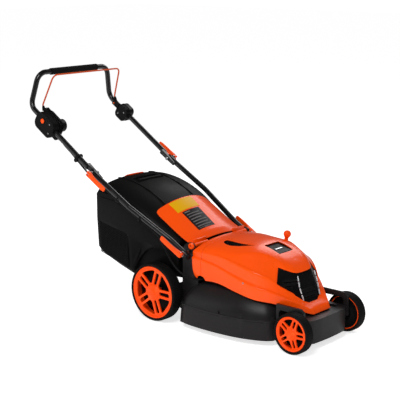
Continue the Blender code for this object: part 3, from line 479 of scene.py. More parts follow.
def madeOf(name, look):
    material = bpy.data.materials.new(name)
    material.use_nodes = True
    nodes, links = material.node_tree.nodes, material.node_tree.links
    shader = nodes["Principled BSDF"]
    shader.inputs["Metallic"].default_value = look.get("metallic", 0)
    shader.inputs["Coat Weight"].default_value = look.get("coat", 0)
    shader.inputs["Coat Roughness"].default_value = look.get("coatRough", 0.08)
    shader.inputs["Specular IOR Level"].default_value = look.get("specular", 0.09)
    texture = nodes.new("ShaderNodeTexCoord")
    mapping = nodes.new("ShaderNodeMapping")
    mapping.inputs["Scale"].default_value = look.get("stretch", (1, 1, 1))
    links.new(texture.outputs["Object"], mapping.inputs["Vector"])

    def placed(group, values):
        node = nodes.new("ShaderNodeGroup")
        node.node_tree = groups[group]
        links.new(mapping.outputs["Vector"], node.inputs["Vector"])
        for title, value in values.items():
            node.inputs[title].default_value = value
        return node

    drift = placed("drift", {"Colour": (*look["colour"], 1), "Tint": (*look["tint"], 1),
                             "Scale": look.get("driftScale", 9), "Amount": look.get("drift", 0.5)})
    colour = drift.outputs["Colour"]
    for group, amount, paint in (("wear", look.get("wear", 0.3), look.get("wearColour", look["tint"])),
                                 ("dust", look.get("dust", 0.01), look.get("dustColour", (0.35, 0.33, 0.3)))):
        if amount:
            mask = placed(group, {"Amount": amount})
            mix = nodes.new("ShaderNodeMix")
            mix.data_type = "RGBA"
            links.new(mask.outputs["Mask"], mix.inputs["Factor"])
            links.new(colour, mix.inputs[6])
            mix.inputs[7].default_value = (*paint, 1)
            colour = mix.outputs[2]
    links.new(colour, shader.inputs["Base Color"])
    rough = nodes.new("ShaderNodeMapRange")
    rough.inputs["From Min"].default_value = 0.3
    rough.inputs["From Max"].default_value = 0.7
    rough.inputs["To Min"].default_value = look["rough"] - look.get("roughSpread", 0.06)
    rough.inputs["To Max"].default_value = look["rough"] + look.get("roughSpread", 0.06)
    links.new(drift.outputs["Cloud"], rough.inputs["Value"])
    links.new(rough.outputs["Result"], shader.inputs["Roughness"])
    grain = placed("grain", {"Scale": look.get("grainScale", 900.0), "Depth": look.get("grainDepth", 0.3)})
    bump = nodes.new("ShaderNodeBump")
    bump.inputs["Strength"].default_value = look.get("bump", 0.25)
    bump.inputs["Distance"].default_value = look.get("bumpDistance", 0.0002)
    links.new(grain.outputs["Height"], bump.inputs["Height"])
    links.new(bump.outputs["Normal"], shader.inputs["Normal"])
    return material


looks = {
    "hoodShell": dict(colour=(1.0, 0.085, 0.0), tint=(0.97, 0.068, 0.0), drift=0.3, rough=0.3,
                      roughSpread=0.04, specular=0.16, coat=0.22, coatRough=0.12, grainScale=260,
                      bump=0.05, wear=0.2, wearColour=(1.0, 0.17, 0.02), dust=0),
    "satinOrange": dict(colour=(1.0, 0.08, 0.001), tint=(0.9, 0.06, 0.0), drift=0.35, rough=0.4,
                        specular=0.14, grainScale=700, bump=0.12, wear=0.35, wearColour=(1.0, 0.2, 0.05),
                        dust=0),
    "rimOrange": dict(colour=(1.0, 0.07, 0.0), tint=(0.95, 0.052, 0.0), drift=0.35, rough=0.36,
                      specular=0.12, grainScale=600, bump=0.1, wearColour=(1.0, 0.2, 0.05), dust=0),
    "tyreRubber": dict(colour=(0.0035, 0.0033, 0.0034), tint=(0.009, 0.0087, 0.0085), drift=0.7,
                       rough=0.62, roughSpread=0.12, grainScale=1400, bump=0.35,
                       wearColour=(0.03, 0.03, 0.029), dust=0.015),
    "deckPlastic": dict(colour=(0.0085, 0.0075, 0.008), tint=(0.016, 0.0145, 0.015), rough=0.4,
                        roughSpread=0.07, specular=0.25, grainScale=1100,
                        wearColour=(0.045, 0.043, 0.044), dust=0.012),
    "boxPlastic": dict(colour=(0.0032, 0.003, 0.003), tint=(0.007, 0.0067, 0.0067), rough=0.44,
                       roughSpread=0.08, specular=0.06, grainScale=1000, bump=0.35,
                       wearColour=(0.03, 0.03, 0.03)),
    "trimPlastic": dict(colour=(0.0028, 0.0027, 0.0028), tint=(0.006, 0.006, 0.006), rough=0.4,
                        roughSpread=0.08, grainScale=1200, bump=0.3, wearColour=(0.03, 0.03, 0.03)),
    "gripFoam": dict(colour=(0.004, 0.004, 0.004), tint=(0.009, 0.009, 0.009), drift=0.6, rough=0.85,
                     grainScale=1500, grainDepth=0.8, bump=0.6, bumpDistance=0.0006, wear=0.1),
    "powderCoat": dict(colour=(0.0025, 0.0025, 0.0028), tint=(0.005, 0.005, 0.0055), rough=0.26,
                       roughSpread=0.05, specular=0.4, coat=0.2, coatRough=0.1, grainScale=500, bump=0.12,
                       wear=0.2, wearColour=(0.04, 0.04, 0.04), dust=0.005),
    "bailCoat": dict(colour=(0.56, 0.075, 0.016), tint=(0.42, 0.05, 0.01), rough=0.32, grainScale=600,
                     bump=0.1, wear=0.4, wearColour=(0.62, 0.16, 0.06)),
    "leadSheath": dict(colour=(0.004, 0.004, 0.0045), tint=(0.009, 0.009, 0.009), rough=0.45,
                       grainScale=800, bump=0.15, wear=0.1),
    "zincSteel": dict(colour=(0.42, 0.42, 0.43), tint=(0.26, 0.26, 0.26), drift=0.6, rough=0.32,
                      roughSpread=0.1, metallic=1, bump=0.12, wearColour=(0.6, 0.6, 0.6), dust=0.03,
                      stretch=(1, 1, 0.2)),
    "groundSteel": dict(colour=(0.3, 0.3, 0.31), tint=(0.17, 0.16, 0.15), drift=0.7, rough=0.38,
                        metallic=1, grainScale=500, bump=0.2, wear=0.7, wearColour=(0.7, 0.7, 0.7),
                        dust=0.02, stretch=(0.1, 1, 1)),
    "motorCase": dict(colour=(0.03, 0.03, 0.034), tint=(0.06, 0.055, 0.05), rough=0.5, metallic=0.4,
                      grainScale=600, bump=0.3, wearColour=(0.2, 0.2, 0.2), dust=0.05),
    "brightStrip": dict(colour=(0.86, 0.86, 0.88), tint=(0.7, 0.7, 0.72), drift=0.3, rough=0.24,
                        metallic=0.5, grainScale=400, bump=0.05, wear=0.1, dust=0),
    "yellowLabel": dict(colour=(0.8, 0.42, 0.001), tint=(0.62, 0.3, 0.001), drift=0.4, rough=0.35,
                        specular=0.12, grainScale=500, bump=0.06, wear=0.1, dust=0),
    "blackLabel": dict(colour=(0.006, 0.0055, 0.006), tint=(0.014, 0.013, 0.014), drift=0.4, rough=0.34,
                       specular=0.12, grainScale=500, bump=0.06, wear=0.1),
    "paleInk": dict(colour=(0.2, 0.19, 0.19), tint=(0.07, 0.065, 0.065), drift=0.9, driftScale=90,
                    rough=0.45, grainScale=500, bump=0.05, wear=0.1, dust=0),
    "brassPin": dict(colour=(0.6, 0.42, 0.16), tint=(0.45, 0.3, 0.1), rough=0.25, metallic=1,
                     grainScale=500, bump=0.05, wear=0.2, dust=0),
}
finishes = {name: madeOf(name, look) for name, look in looks.items()}
print("finishes ready:", len(finishes))


def roundedLoop(points, radius, arcs=4):
    # every corner of a closed flat outline becomes an arc
    count = len(points)
    made = []
    for i in range(count):
        before, corner, after = Vector(points[i - 1]), Vector(points[i]), Vector(points[(i + 1) % count])
        back, ahead = (before - corner), (after - corner)
        reach = min(radius * mm, back.length * 0.45, ahead.length * 0.45)
        start, end = corner + back.normalized() * reach, corner + ahead.normalized() * reach
        for k in range(arcs + 1):
            t = k / arcs
            made.append(start * (1 - t) ** 2 + corner * 2 * t * (1 - t) + end * t * t)
    return made


def outlinePrism(name, points, reach):
    mesh = bpy.data.meshes.new(name)
    mesh.from_pydata([tuple(p) for p in points], [], [tuple(range(len(points)))])
    obj = bpy.data.objects.new(name, mesh)
    bpy.context.scene.collection.objects.link(obj)
    editing(obj)
    bpy.ops.mesh.select_all(action="SELECT")
    bpy.ops.mesh.extrude_region_move(TRANSFORM_OT_translate={"value": tuple(reach)})
    leaveEditing()
    merged(obj, 0.001)
    return obj


# wheels
wheelSet = {"tyreDepth": 11, "ribHeight": 0.9, "spokePairs": 5,
            "front": {"segments": 112}, "rear": {"segments": 168}}


def buildTyre(place):
    low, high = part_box(f"tyre_{place}_left")
    radius, width = (high.z - low.z) / 2 / mm, (high.x - low.x) / mm
    centre = Vector((high.x, (low.y + high.y) / 2, (low.z + high.z) / 2))
    seat, base = radius - wheelSet["tyreDepth"], radius - wheelSet["ribHeight"]
    half = [(seat, -3), (seat + 1.2, -1.8), (base - 8, -0.8), (base - 7.4, -1.3), (base - 6.8, -0.6),
            (base - 4.6, 0), (base - 2.4, -1.4), (base - 1, -3.6), (base - 0.2, -6.4), (base, -8)]
    profile = half + [(r, -width - o) for r, o in reversed(half)]
    segments = wheelSet[place]["segments"]
    tyre = turnedBody(f"{place}Tyre", centre, profile, segments, "X", True)
    middle = centre.x - width * mm / 2
    turnOf = 2 * math.pi / segments

    def isRib(face):
        at = face.calc_center_median()
        far = math.hypot(at.y - centre.y, at.z - centre.z)
        angle = math.atan2(at.z - centre.z, at.y - centre.y) % (2 * math.pi)
        inBand = abs(at.x - middle) < (width / 2 - 3.0) * mm
        return inBand and far > (base - 1.4) * mm and int(angle / turnOf + 0.001) % 2 == 0

    editing(tyre, isRib)
    bpy.ops.mesh.extrude_region_shrink_fatten(
        TRANSFORM_OT_shrink_fatten={"value": -wheelSet["ribHeight"] * mm})
    leaveEditing()
    smooth(tyre, 30)
    return tyre


def buildRim(place):
    low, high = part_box(f"tyre_{place}_left")
    radius, width = (high.z - low.z) / 2 / mm, (high.x - low.x) / mm
    centre = Vector((high.x, (low.y + high.y) / 2, (low.z + high.z) / 2))
    edge = radius - wheelSet["tyreDepth"] - 0.4
    hub = 0.25 * radius
    bore = 5.3
    rim = turnedBody(f"{place}Rim", centre, [
        (0, -1.2), (hub * 0.5, -1.2), (hub * 0.56, -2.2), (hub, -2.4), (hub + 2.5, -5.5), (edge - 8, -6.6),
        (edge - 6.4, -3.6), (edge - 5, -2.8), (edge - 1, -2.8), (edge, -4), (edge, 4 - width),
        (edge - 3, 4 - width), (edge - 4.4, -14), (edge - 8, -12.4), (hub, -12), (bore + 6, 4 - width),
        (bore, 4 - width), (bore, -8), (0, -8)], 96, "X")
    step = 2 * math.pi / wheelSet["spokePairs"]
    inner, outer = hub + 3, edge * 0.83
    for n in range(wheelSet["spokePairs"]):
        slot = 0.078 * radius
        turn = n * step + math.pi / 2 + step / 2
        wide = outer * math.tan(step / 2) - (slot + 0.1 * radius) / math.cos(step / 2)
        shapes = (([(-slot * 0.8, inner), (slot * 0.8, inner), (slot, outer - 1), (-slot, outer - 1)],
                   n * step + math.pi / 2, slot * 0.85),
                  ([(-wide * 0.18, inner + 4), (wide * 0.18, inner + 4), (wide, outer - 4.5),
                    (wide * 0.66, outer - 0.5),
                    (0, outer + 0.6), (-wide * 0.66, outer - 0.5), (-wide, outer - 4.5)], turn, 3.6))
        for outline, angle, bend in shapes:
            ring = []
            for a, b in outline:
                y = a * math.cos(angle) - b * math.sin(angle)
                z = a * math.sin(angle) + b * math.cos(angle)
                ring.append((centre.x + 0.006, centre.y + y * mm, centre.z + z * mm))
            cutBy(rim, outlinePrism("opening", roundedLoop(ring, bend), (-0.028, 0, 0)))
    softened(rim, 0.7, 2, 40)
    smooth(rim, 40)
    return rim


def rimShadeDisc(place):
    # painted shade: a black dished disc that closes the rim on its inner side so its openings read dark, with
    # a hole for the crank
    low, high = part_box(f"rim_{place}_left")
    centre = Vector((low.x, (low.y + high.y) / 2, (low.z + high.z) / 2))
    edge = (high.z - low.z) / 2 / mm - 3.3
    cover = turnedBody(f"{place}Cover", centre, [
        (12.5, 1.2), (edge * 0.5, 1.0), (edge * 0.55, 3.2), (edge * 0.86, 4.4), (edge * 0.9, 2.2),
        (edge, 1.6),
        (edge, 3.0), (edge * 0.92, 4.0), (edge * 0.88, 6.2), (edge * 0.54, 5.0), (edge * 0.48, 2.6),
        (12.5, 2.8)], 64, "X", True)
    softened(cover, 0.3, 1, 50)
    return cover


def axleEnd(place):
    # washer and push-on cap on the wheel's inner side, where the crank meets the hub
    low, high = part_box(f"rim_{place}_left")
    centre = Vector((low.x, (low.y + high.y) / 2, (low.z + high.z) / 2))
    return turnedBody(f"{place}Washer", centre, [
        (5.3, -0.4), (10, -0.4), (10, -1.6), (7.5, -1.8), (7, -3.4), (5.3, -3.4)], 40, "X", True)


wheelParts = {"front": None, "rear": None}
for place in ("front", "rear"):
    # each wheel gets a black disc behind its rim: painted shade in the rim's openings
    wheelParts[place] = (buildTyre(place), buildRim(place), axleEnd(place), rimShadeDisc(place))
    for side in ("left", "right"):
        flip = Matrix.Identity(4) if side == "left" else mirrorX
        for part, piece, paint, node in (
                (0, "Tyre", "tyreRubber", "tyre"), (1, "Rim", "rimOrange", "rim"),
                (2, "Washer", "zincSteel", None), (3, "Cover", "trimPlastic", None)):
            made = copied(wheelParts[place][part], f"{place}{side.capitalize()}{piece}", flip)
            smooth(made, 35)
            fitted(made, f"{place}_wheel_{side}", paint, *([f"{node}_{place}_{side}"] if node else []))
    for part in wheelParts[place]:
        bpy.data.objects.remove(part, do_unlink=True)
print("wheels ready")

# hood and grille
hoodRows = [
    [(0, -3, 108), (49, -3, 108), (94, 56, 128), (134, 111, 147), (156, 150, 148), (158, 210, 157),
     (157, 270, 168), (153, 340, 183), (160, 428, 163)],
    [(0, 5, 124), (50, 5, 124), (97, 60, 156), (136, 112, 184), (158, 154, 191), (161, 210, 204),
     (160, 270, 219), (157, 340, 238), (164, 428, 250)],
    [(0, 12, 128), (50, 12, 127), (91, 64, 160), (129, 114, 188), (151, 156, 196), (154, 210, 209),
     (153, 270, 224), (150, 340, 243), (158, 428, 254)],
    [(0, 36, 138), (50, 35, 138), (87, 70, 176), (122, 113, 220), (149, 158, 238), (153, 210, 249),
     (152, 270, 260), (150, 340, 272), (160, 428, 268)],
    [(0, 41, 144), (50, 40, 144), (82, 74, 182), (114, 115, 226), (141, 160, 243), (145, 211, 254),
     (145, 271, 265), (144, 340, 277), (156, 428, 273)],
    [(0, 66, 222), (48, 66, 222), (62, 94, 248), (68, 128, 273), (82, 178, 293), (112, 222, 292),
     (135, 270, 278), (134, 338, 290), (138, 421, 284)],
    [(0, 82, 246), (38, 84, 246), (48, 106, 263), (52, 138, 280), (60, 184, 298), (80, 228, 303),
     (98, 274, 300), (104, 334, 301), (106, 421, 292)],
    [(0, 102, 261), (24, 104, 261), (30, 114, 268), (34, 146, 285), (38, 186, 300), (46, 240, 308),
     (50, 282, 307), (52, 336, 308), (60, 421, 299)],
    [(0, 112, 266), (0, 118, 269), (0, 126, 274), (0, 158, 288), (0, 198, 301), (0, 250, 309), (0, 290, 308),
     (0, 340, 309), (0, 421, 301)],
]
hoodSet = {"wall": 2, "seamY": 391, "seamGap": 1.4}
# row, first column, last column, how sharp
hoodLines = [(1, 1, 8, 0.85), (2, 1, 8, 0.7), (3, 2, 8, 0.75), (4, 2, 8, 0.6), (5, 2, 6, 0.75),
             (5, 6, 8, 0.2)]
hoodCreases = ([((row, c), (row, c + 1), sharp)
                for row, first, last, sharp in hoodLines for c in range(first, last)]
               + [((r, 1), (r + 1, 1), 0.55) for r in range(0, 5)])
grilleSide = [(8, 229), (64, 229), (121, 255), (103, 208), (62, 172), (36, 137), (8, 137)]
grilleFront = [(22, 136), (46, 146), (64, 162), (90, 184), (130, 214), (130, 290)]


def onSide(points, x):
    return [spot(x, y, z) for y, z in points]


recessSet = {"line": [(-76, 354), (-84, 334), (-87, 308), (-83, 282), (-74, 257), (-62, 236)],
             "wide": [20, 32, 31, 22, 12, 3], "floor": 11}


def recessOutline():
    spread = list(zip(recessSet["line"], recessSet["wide"]))
    outer = [Vector((x - wide / 2, y)) for (x, y), wide in spread]
    inner = [Vector((x + wide / 2, y + 2)) for (x, y), wide in reversed(spread)]
    loop = roundedLoop([p.to_3d() for p in outer + inner], 9 / mm, 4)
    return [(p.x, p.y) for p in loop]


def skinHeight(x, y):
    # how high the closed hood skin is at a place on its top
    hit, where, normal, face = hoodSkin.ray_cast(spot(x, y, 400), Vector((0, 0, -1)))
    return where.z / mm if hit else 300


def windowBlock(grow):
    # the opening for the grille: its side outline and its front outline, both held
    middle = Vector((70, 190))
    sidePoints = [tuple((Vector(p) - middle) * grow + middle) for p in grilleSide]
    frontPoints = [(x, 190 + (z - 190) * grow) for x, z in grilleFront]
    frontPoints = frontPoints + [(-x, z) for x, z in reversed(frontPoints)]
    block = outlinePrism("block", roundedLoop(onSide(sidePoints, -170 * grow), 5), (0.34 * grow, 0, 0))
    front = outlinePrism("front", roundedLoop([spot(x, -30, z) for x, z in frontPoints], 5), (0, 0.2, 0))
    cutBy(block, front, "INTERSECT")
    return block


def buildHood():
    hood = cageSurface("hoodShell", hoodRows, hoodCreases, 3)
    wallOf(hood, hoodSet["wall"], 1)
    skin = copied(hood, "hoodSkin", Matrix.Identity(4))
    seamEnd = hoodSet["seamY"] + hoodSet["seamGap"]
    cutBy(hood, slab("seam", (-200, hoodSet["seamY"], 100), (200, seamEnd, 330)), "DIFFERENCE", True)
    cutBy(hood, windowBlock(1))
    merged(hood, 0.01)
    cutBy(hood, outlinePrism("scoop", [spot(x, y, 270) for x, y in recessOutline()], (0, 0, 0.06)))
    cutBy(hood, slab("leverSlot", (100, 208, 230), (110, 300, 330)))
    plateCut = slab("plateSeat", (-39, 147, 289.5), (39, 215, 310))
    plateCut.data.transform(Matrix.Translation(spot(0, 181, 289.5)) @ Matrix.Rotation(math.radians(13), 4,
                                                                                      "X")
                            @ Matrix.Translation(-spot(0, 181, 289.5)))
    softened(plateCut, 5, 4, 60)
    cutBy(hood, plateCut)
    cutBy(hood, outlinePrism("cableNotch", roundedLoop(onSide([
        (372, 150), (374, 178), (382, 187), (396, 190), (408, 184), (414, 150)], -175), 5), (0.055, 0, 0)))
    merged(hood, 0.01)
    softened(hood, 0.6, 2, 50)
    smooth(hood, 30)
    return hood, skin


hood, hoodSkin = buildHood()
editing(hood, lambda face: face.calc_center_median().y > spot(0, hoodSet["seamY"], 0).y)
bpy.ops.mesh.separate(type="SELECTED")
leaveEditing()
bridge = [o for o in bpy.context.selected_objects if o is not hood][0]
bridge.name = "hoodBridge"
hood.name = "hoodFront"
for piece in (hood, bridge):
    smooth(piece, 30)
fitted(hood, "chassis", "hoodShell", "motor_hood")
fitted(bridge, "chassis", "hoodShell")
print("hood ready")


def insetRows(rows, amount):
    # the cage pulled towards the middle of the hood, for what lies just inside its skin
    made = []
    for row in rows:
        line = []
        for x, y, z in row:
            out = Vector((x * 0.9, (y - 250) * 0.55, (z - 120) * 0.8))
            out = out.normalized() * amount if out.length > 1 else out
            line.append((max(0.0, x - out.x) if x else 0.0, y - out.y, z - out.z))
        made.append(line)
    return made


grilleSet = {"inset": 1.2, "reach": 7, "louvres": (150, 164, 178, 192, 206, 220), "louvreGap": 3.2}


def buildGrille():
    grille = cageSurface("grilleShell", insetRows(hoodRows, grilleSet["inset"]), hoodCreases, 3)

    def outsideWindow(face):
        # the panel reaches a little past the opening on every side, behind the hood's skin
        at = face.calc_center_median()
        y, z = (at.y - axleY) / mm, at.z / mm
        reach = grilleSet["reach"]
        return (z > max(229, 229 + (y - 64) * 0.46) + reach or y > 103 + (z - 208) * 0.38 + reach
                or z < 137 + (y - 36) * 1.06 - reach - 3)

    editing(grille, outsideWindow)
    bpy.ops.mesh.delete(type="FACE")
    leaveEditing()
    merged(grille, 0.01)
    panel = grille.modifiers.new("wall", "SOLIDIFY")
    panel.thickness = 2 * mm
    panel.offset = -1
    applyAll(grille)
    for z in grilleSet["louvres"]:
        lift = (z - 136) * 0.42
        cutter = slab("louvre", (-41, -20, z), (41, 40 + lift * 0.55 + 4, z + grilleSet["louvreGap"]))
        softened(cutter, 1.2, 2, 60)
        cutBy(grille, cutter, "DIFFERENCE", True)
    for n in range(3):
        for sign in (-1, 1):
            y, z = 60 + n * 12, 206 - n * 13
            cutter = slab("slot", (sign * 60 - 30, y, z), (sign * 60 + 90, y + 34 - n * 6, z + 3))
            if sign < 0:
                cutter.data.transform(Matrix.Translation((-0.06, 0, 0)))
            cutBy(grille, cutter, "DIFFERENCE", True)
    softened(grille, 0.4, 2, 45)
    smooth(grille, 32)
    return grille


fitted(buildGrille(), "chassis", "trimPlastic", "front_grille")

for side, sign in (("left", 1), ("right", -1)):
    ends = [spot(sign * 46, 38, 147), spot(sign * 50.5, 52.5, 190), spot(sign * 47, 64.5, 229)]
    bars = []
    for k in range(4):
        def along(t):
            return ends[0].lerp(ends[1], t * 2) if t < 0.5 else ends[1].lerp(ends[2], t * 2 - 1)
        a, b = along(k / 4 + 0.015), along((k + 1) / 4 - 0.03)
        bar = bentTube("bar", [a, (a + b) / 2, b], 2.3)
        bars.append(bar)
    trim = joined(f"brightStrip{side.capitalize()}", *bars)
    smooth(trim, 50)
    fitted(trim, "chassis", "brightStrip", f"grille_trim_{side}")

plate = slab("crownPlate", (-37.5, 148.5, 290.2), (37.5, 213.5, 293.4))
only(plate)
softened(plate, 6, 5, 60)
tilt = (Matrix.Translation(spot(0, 181, 290.2)) @ Matrix.Rotation(math.radians(13), 4, "X")
        @ Matrix.Translation(-spot(0, 181, 290.2)))
plate.data.transform(tilt)
editing(plate, lambda face: face.normal.z > 0.9)
bpy.ops.mesh.inset(thickness=3.5 * mm, depth=-0.5 * mm)
leaveEditing()
smooth(plate, 30)
fitted(plate, "chassis", "trimPlastic", "top_plate")
dash = slab("plateDash", (-18, 178, 293.0), (18, 182.5, 293.5))
dash.data.transform(tilt)
softened(dash, 0.15, 1, 60)
fitted(dash, "chassis", "brightStrip")


def buildGrip():
    # a dark hand hold let into the hood's top: a sunk floor and walls that end just under the skin
    rim = recessOutline()
    middle = Vector((sum(p[0] for p in rim) / len(rim), sum(p[1] for p in rim) / len(rim)))
    top = [spot(x, y, skinHeight(x, y) - 0.4) for x, y in rim]
    low = []
    for x, y in rim:
        near = Vector((x, y)).lerp(middle, 0.08)
        low.append(spot(near.x, near.y, skinHeight(x, y) - recessSet["floor"]))
    count = len(rim)
    faces = [(i, (i + 1) % count, count + (i + 1) % count, count + i) for i in range(count)]
    faces.append(tuple(count + i for i in range(count)))
    mesh = bpy.data.meshes.new("carryRecess")
    mesh.from_pydata([tuple(p) for p in top + low], [], faces)
    grip = bpy.data.objects.new("carryRecess", mesh)
    bpy.context.scene.collection.objects.link(grip)
    editing(grip)
    bpy.ops.mesh.select_all(action="SELECT")
    bpy.ops.mesh.normals_make_consistent(inside=True)
    leaveEditing()
    shell = grip.modifiers.new("wall", "SOLIDIFY")
    shell.thickness = 1.2 * mm
    shell.offset = -1
    applyAll(grip)
    merged(grip, 0.01)
    softened(grip, 0.4, 1, 50)
    smooth(grip, 40)
    return grip


fitted(buildGrip(), "chassis", "trimPlastic", "grip_inlay")
bpy.data.objects.remove(hoodSkin, do_unlink=True)
for side, sign in (("left", 1), ("right", -1)):
    low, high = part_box(f"flap_boss_{side}")
    centre = Vector(((low.x + high.x) / 2, (low.y + high.y) / 2, (low.z + high.z) / 2))
    out = sign * (high.x - low.x) / 2 / mm
    boss = turnedBody(f"hingeBoss{side.capitalize()}", centre, [
        (3.4, -out), (11, -out), (11.2, out * 0.4), (9.6, out * 0.92), (6, out), (5.2, out * 0.75),
        (3.4, out * 0.7)], 48, "X", True)
    smooth(boss, 35)
    fitted(boss, "chassis", "hoodShell", f"flap_boss_{side}")
screws = []
for sign in (-1, 1):
    at = spot(sign * 161.5, 205, 200)
    head = [(0, 0.2), (1.4, 0.2), (1.5, 1.1), (3.4, 0.9), (3.8, 0), (3.8, -2)]
    screws.append(turnedBody("screw", at, head, 20,
                             "X" if sign > 0 else "-X"))
screw = joined("hoodScrews", *screws)
smooth(screw, 35)
fitted(screw, "chassis", "zincSteel")
print("grille and crown ready")

# height lever, running gear and motor
knobLow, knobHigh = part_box("height_lever_knob")
knob = turnedBody("heightKnob", (knobLow + knobHigh) / 2, [
    (0, 16.4), (4.6, 15.9), (9.4, 13.2), (12.6, 8.6), (13.4, 3.4), (12.4, -1.4), (10, -5.4), (7.8, -8.6),
    (6.8, -12.5), (7.4, -17.5), (0, -17.5)], 48, Vector((0, -0.2, 1)))
smooth(knob, 40)
fitted(knob, "height_lever", "satinOrange", "height_lever_knob")
for node, name, body, paint, width in (
        ("height_lever_arm", "heightLeverArm", "height_lever", "zincSteel", 0.4),
        ("front_axle", "frontCrank", "front_axle_body", "zincSteel", 0),
        ("rear_axle", "rearCrank", "rear_axle_body", "zincSteel", 0),
        ("tie_rod", "tieRod", "tie_rod_body", "zincSteel", 0),
        ("flap_pin", "flapPin", "chassis", "zincSteel", 0.5),
        ("motor", "motorCan", "chassis", "motorCase", 1.2),
        ("motor_shaft", "motorShaft", "rotor", "zincSteel", 0.8),
        ("impeller", "coolingFan", "rotor", "satinOrange", 0.4),
        ("blade", "cuttingBlade", "rotor", "groundSteel", 0.3),
        ("blade_bolt", "bladeBolt", "rotor", "zincSteel", 0.5)):
    piece = softCopy(node, name, width)
    smooth(piece, 35)
    fitted(piece, body, paint)
for place in ("lower", "upper"):
    for side in ("left", "right"):
        piece = softCopy(f"{place}_bolt_{side}", f"{place}Bolt{side.capitalize()}", 0.3)
        smooth(piece, 35)
        fitted(piece, "chassis" if place == "lower" else "lower_handle", "zincSteel")
print("running gear ready")

# deck
deckSet = {"outline": [(84, 118), (90, 146), (109, 163), (139, 177), (188, 195), (266, 206), (354, 208),
                       (420, 203), (456, 197), (468, 150)],
           "levels": [(19.8, 0), (30, -0.4), (60, 0), (84, 0.6), (89, 4), (94, 5), (106, 8), (126, 18),
                      (146, 36), (158, 54)],
           "proud": 2.0}


def buildSkirt():
    rows = []
    for z, inset in deckSet["levels"]:
        k = (208 - inset) / 208
        row = [(x * k + deckSet["proud"], 277 + (y - 277) * (190 - inset) / 190, z)
               for y, x in deckSet["outline"]]
        rows.append(row)
    creases = [((r, c), (r, c + 1), 0.8) for r in (3, 4) for c in range(9)]
    skirt = cageSurface("deckSkirt", rows, creases, 2, False)
    twin = copied(skirt, "twin", mirrorX)
    skirt = joined("deckSkirt", skirt, twin)
    merged(skirt, 0.01)
    shell = skirt.modifiers.new("wall", "SOLIDIFY")
    shell.thickness = 1.6 * mm
    shell.offset = -1
    applyAll(skirt)
    softened(skirt, 0.4, 1, 60)
    smooth(skirt, 40)
    return skirt


deck = softCopy("deck", "deckMoulding", 0)
smooth(deck, 28)
fitted(deck, "chassis", "deckPlastic")
fitted(buildSkirt(), "chassis", "deckPlastic")
print("deck ready")


# rear flap with its two plain labels
flapRows = [(441, 303, 448, 284), (460, 320, 470, 295), (480, 333, 492, 303), (530, 366, 545, 332),
            (575, 396, 592, 359), (606, 414, 626, 377)]
flapSet = {"half": 142, "wall": 3}


def flapPoint(t, along, lift=0.0):
    # t runs over half the width, along from the hinge to the far edge
    place = max(0.0, min(0.999, along)) * (len(flapRows) - 1)
    k = int(place)
    part = place - k
    cy, cz, ey, ez = [a + (b - a) * part for a, b in zip(flapRows[k], flapRows[k + 1])]
    return (t * flapSet["half"], cy + (ey - cy) * t * t, cz + (ez - cz) * abs(t) ** 2.2 + lift)


def buildFlap():
    rows = [[flapPoint(n / 6, r / 5) for n in range(7)] for r in range(6)]
    creases = ([((r, 5), (r + 1, 5), 0.5) for r in range(5)] + [((1, c), (1, c + 1), 0.45) for c in range(6)])
    flap = cageSurface("rearFlap", rows, creases, 3)
    wallOf(flap, flapSet["wall"], 0)
    for vertex in flap.data.vertices:
        vertex.co.z -= flapSet["wall"] / 2 * mm
    knuckles = []
    for low, high in ((-141, -70), (70, 141)):
        knuckles.append(turnedBody("knuckle", spot(low, 440, 286), [
            (3.4, 0), (7, 0), (8, 1), (8, high - low - 1), (7, high - low), (3.4, high - low)], 32, "X",
            True))
        neck = slab("neck", (low + 4, 441, 286), (high - 4, 449, 306))
        softened(neck, 1.5, 2, 60)
        knuckles.append(neck)
    softened(flap, 0.9, 2, 55)
    whole = joined("rearFlap", flap, *knuckles)
    smooth(whole, 35)
    return whole


def surfacePatch(name, t0, t1, a0, a1, lift, across=10, deep=10):
    nothingSelected()
    bpy.ops.mesh.primitive_grid_add(x_subdivisions=across, y_subdivisions=deep, size=1)
    patch = bpy.context.object
    patch.name = name
    for vertex in patch.data.vertices:
        u, v = vertex.co.x + 0.5, vertex.co.y + 0.5
        vertex.co = spot(*flapPoint(t0 + (t1 - t0) * u, a0 + (a1 - a0) * v, lift))
    settle(patch)
    wallOf(patch, 0.35, 1)
    return patch


fitted(buildFlap(), "flap", "hoodShell", "rear_flap")
labels = {"yellowNotice": (-0.62, 0.14, 0.72, 0.97, "yellowLabel"),
          "blackNotice": (-0.52, 0.06, 0.33, 0.7, "blackLabel")}
for name, (t0, t1, a0, a1, paint) in labels.items():
    notice = surfacePatch(name, t0, t1, a0, a1, 0.35)
    smooth(notice, 40)
    fitted(notice, "flap", paint)
lines = []
for k in range(7):
    a = 0.37 + k * 0.042
    lines.append(surfacePatch("line", -0.47, (-0.1, 0.02, -0.04, 0.0, -0.12, 0.01, -0.05)[k], a, a + 0.014,
                              0.75, 8, 2))
for a, t1 in ((0.345, -0.02), (0.665, -0.3)):
    lines.append(surfacePatch("line", -0.48 if t1 < -0.1 else -0.3, t1, a, a + 0.018, 0.75, 8, 2))
ink = joined("blackNoticeLines", *lines)
smooth(ink, 40)
fitted(ink, "flap", "paleInk")
print("flap ready")

# grass box
boxStations = [(506, 150, 140, 153, 268, 312), (545, 162, 146, 153, 298, 340), (600, 171, 148, 153, 326, 374),
               (650, 180, 150, 153, 358, 410), (716, 180, 168, 133, 394, 440), (790, 180, 170, 156, 418, 460),
               (860, 180, 170, 181, 424, 467), (888, 176, 166, 191, 416, 452), (896, 166, 158, 196, 406, 436)]
boxSet = {"lidWall": 2.4, "meshHole": 1.35, "ribPitch": 11}


def rimAt(y):
    for a, b in zip(boxStations, boxStations[1:]):
        if a[0] <= y <= b[0]:
            t = (y - a[0]) / (b[0] - a[0])
            return [p + (q - p) * t for p, q in zip(a, b)]
    return boxStations[0] if y < boxStations[0][0] else boxStations[-1]


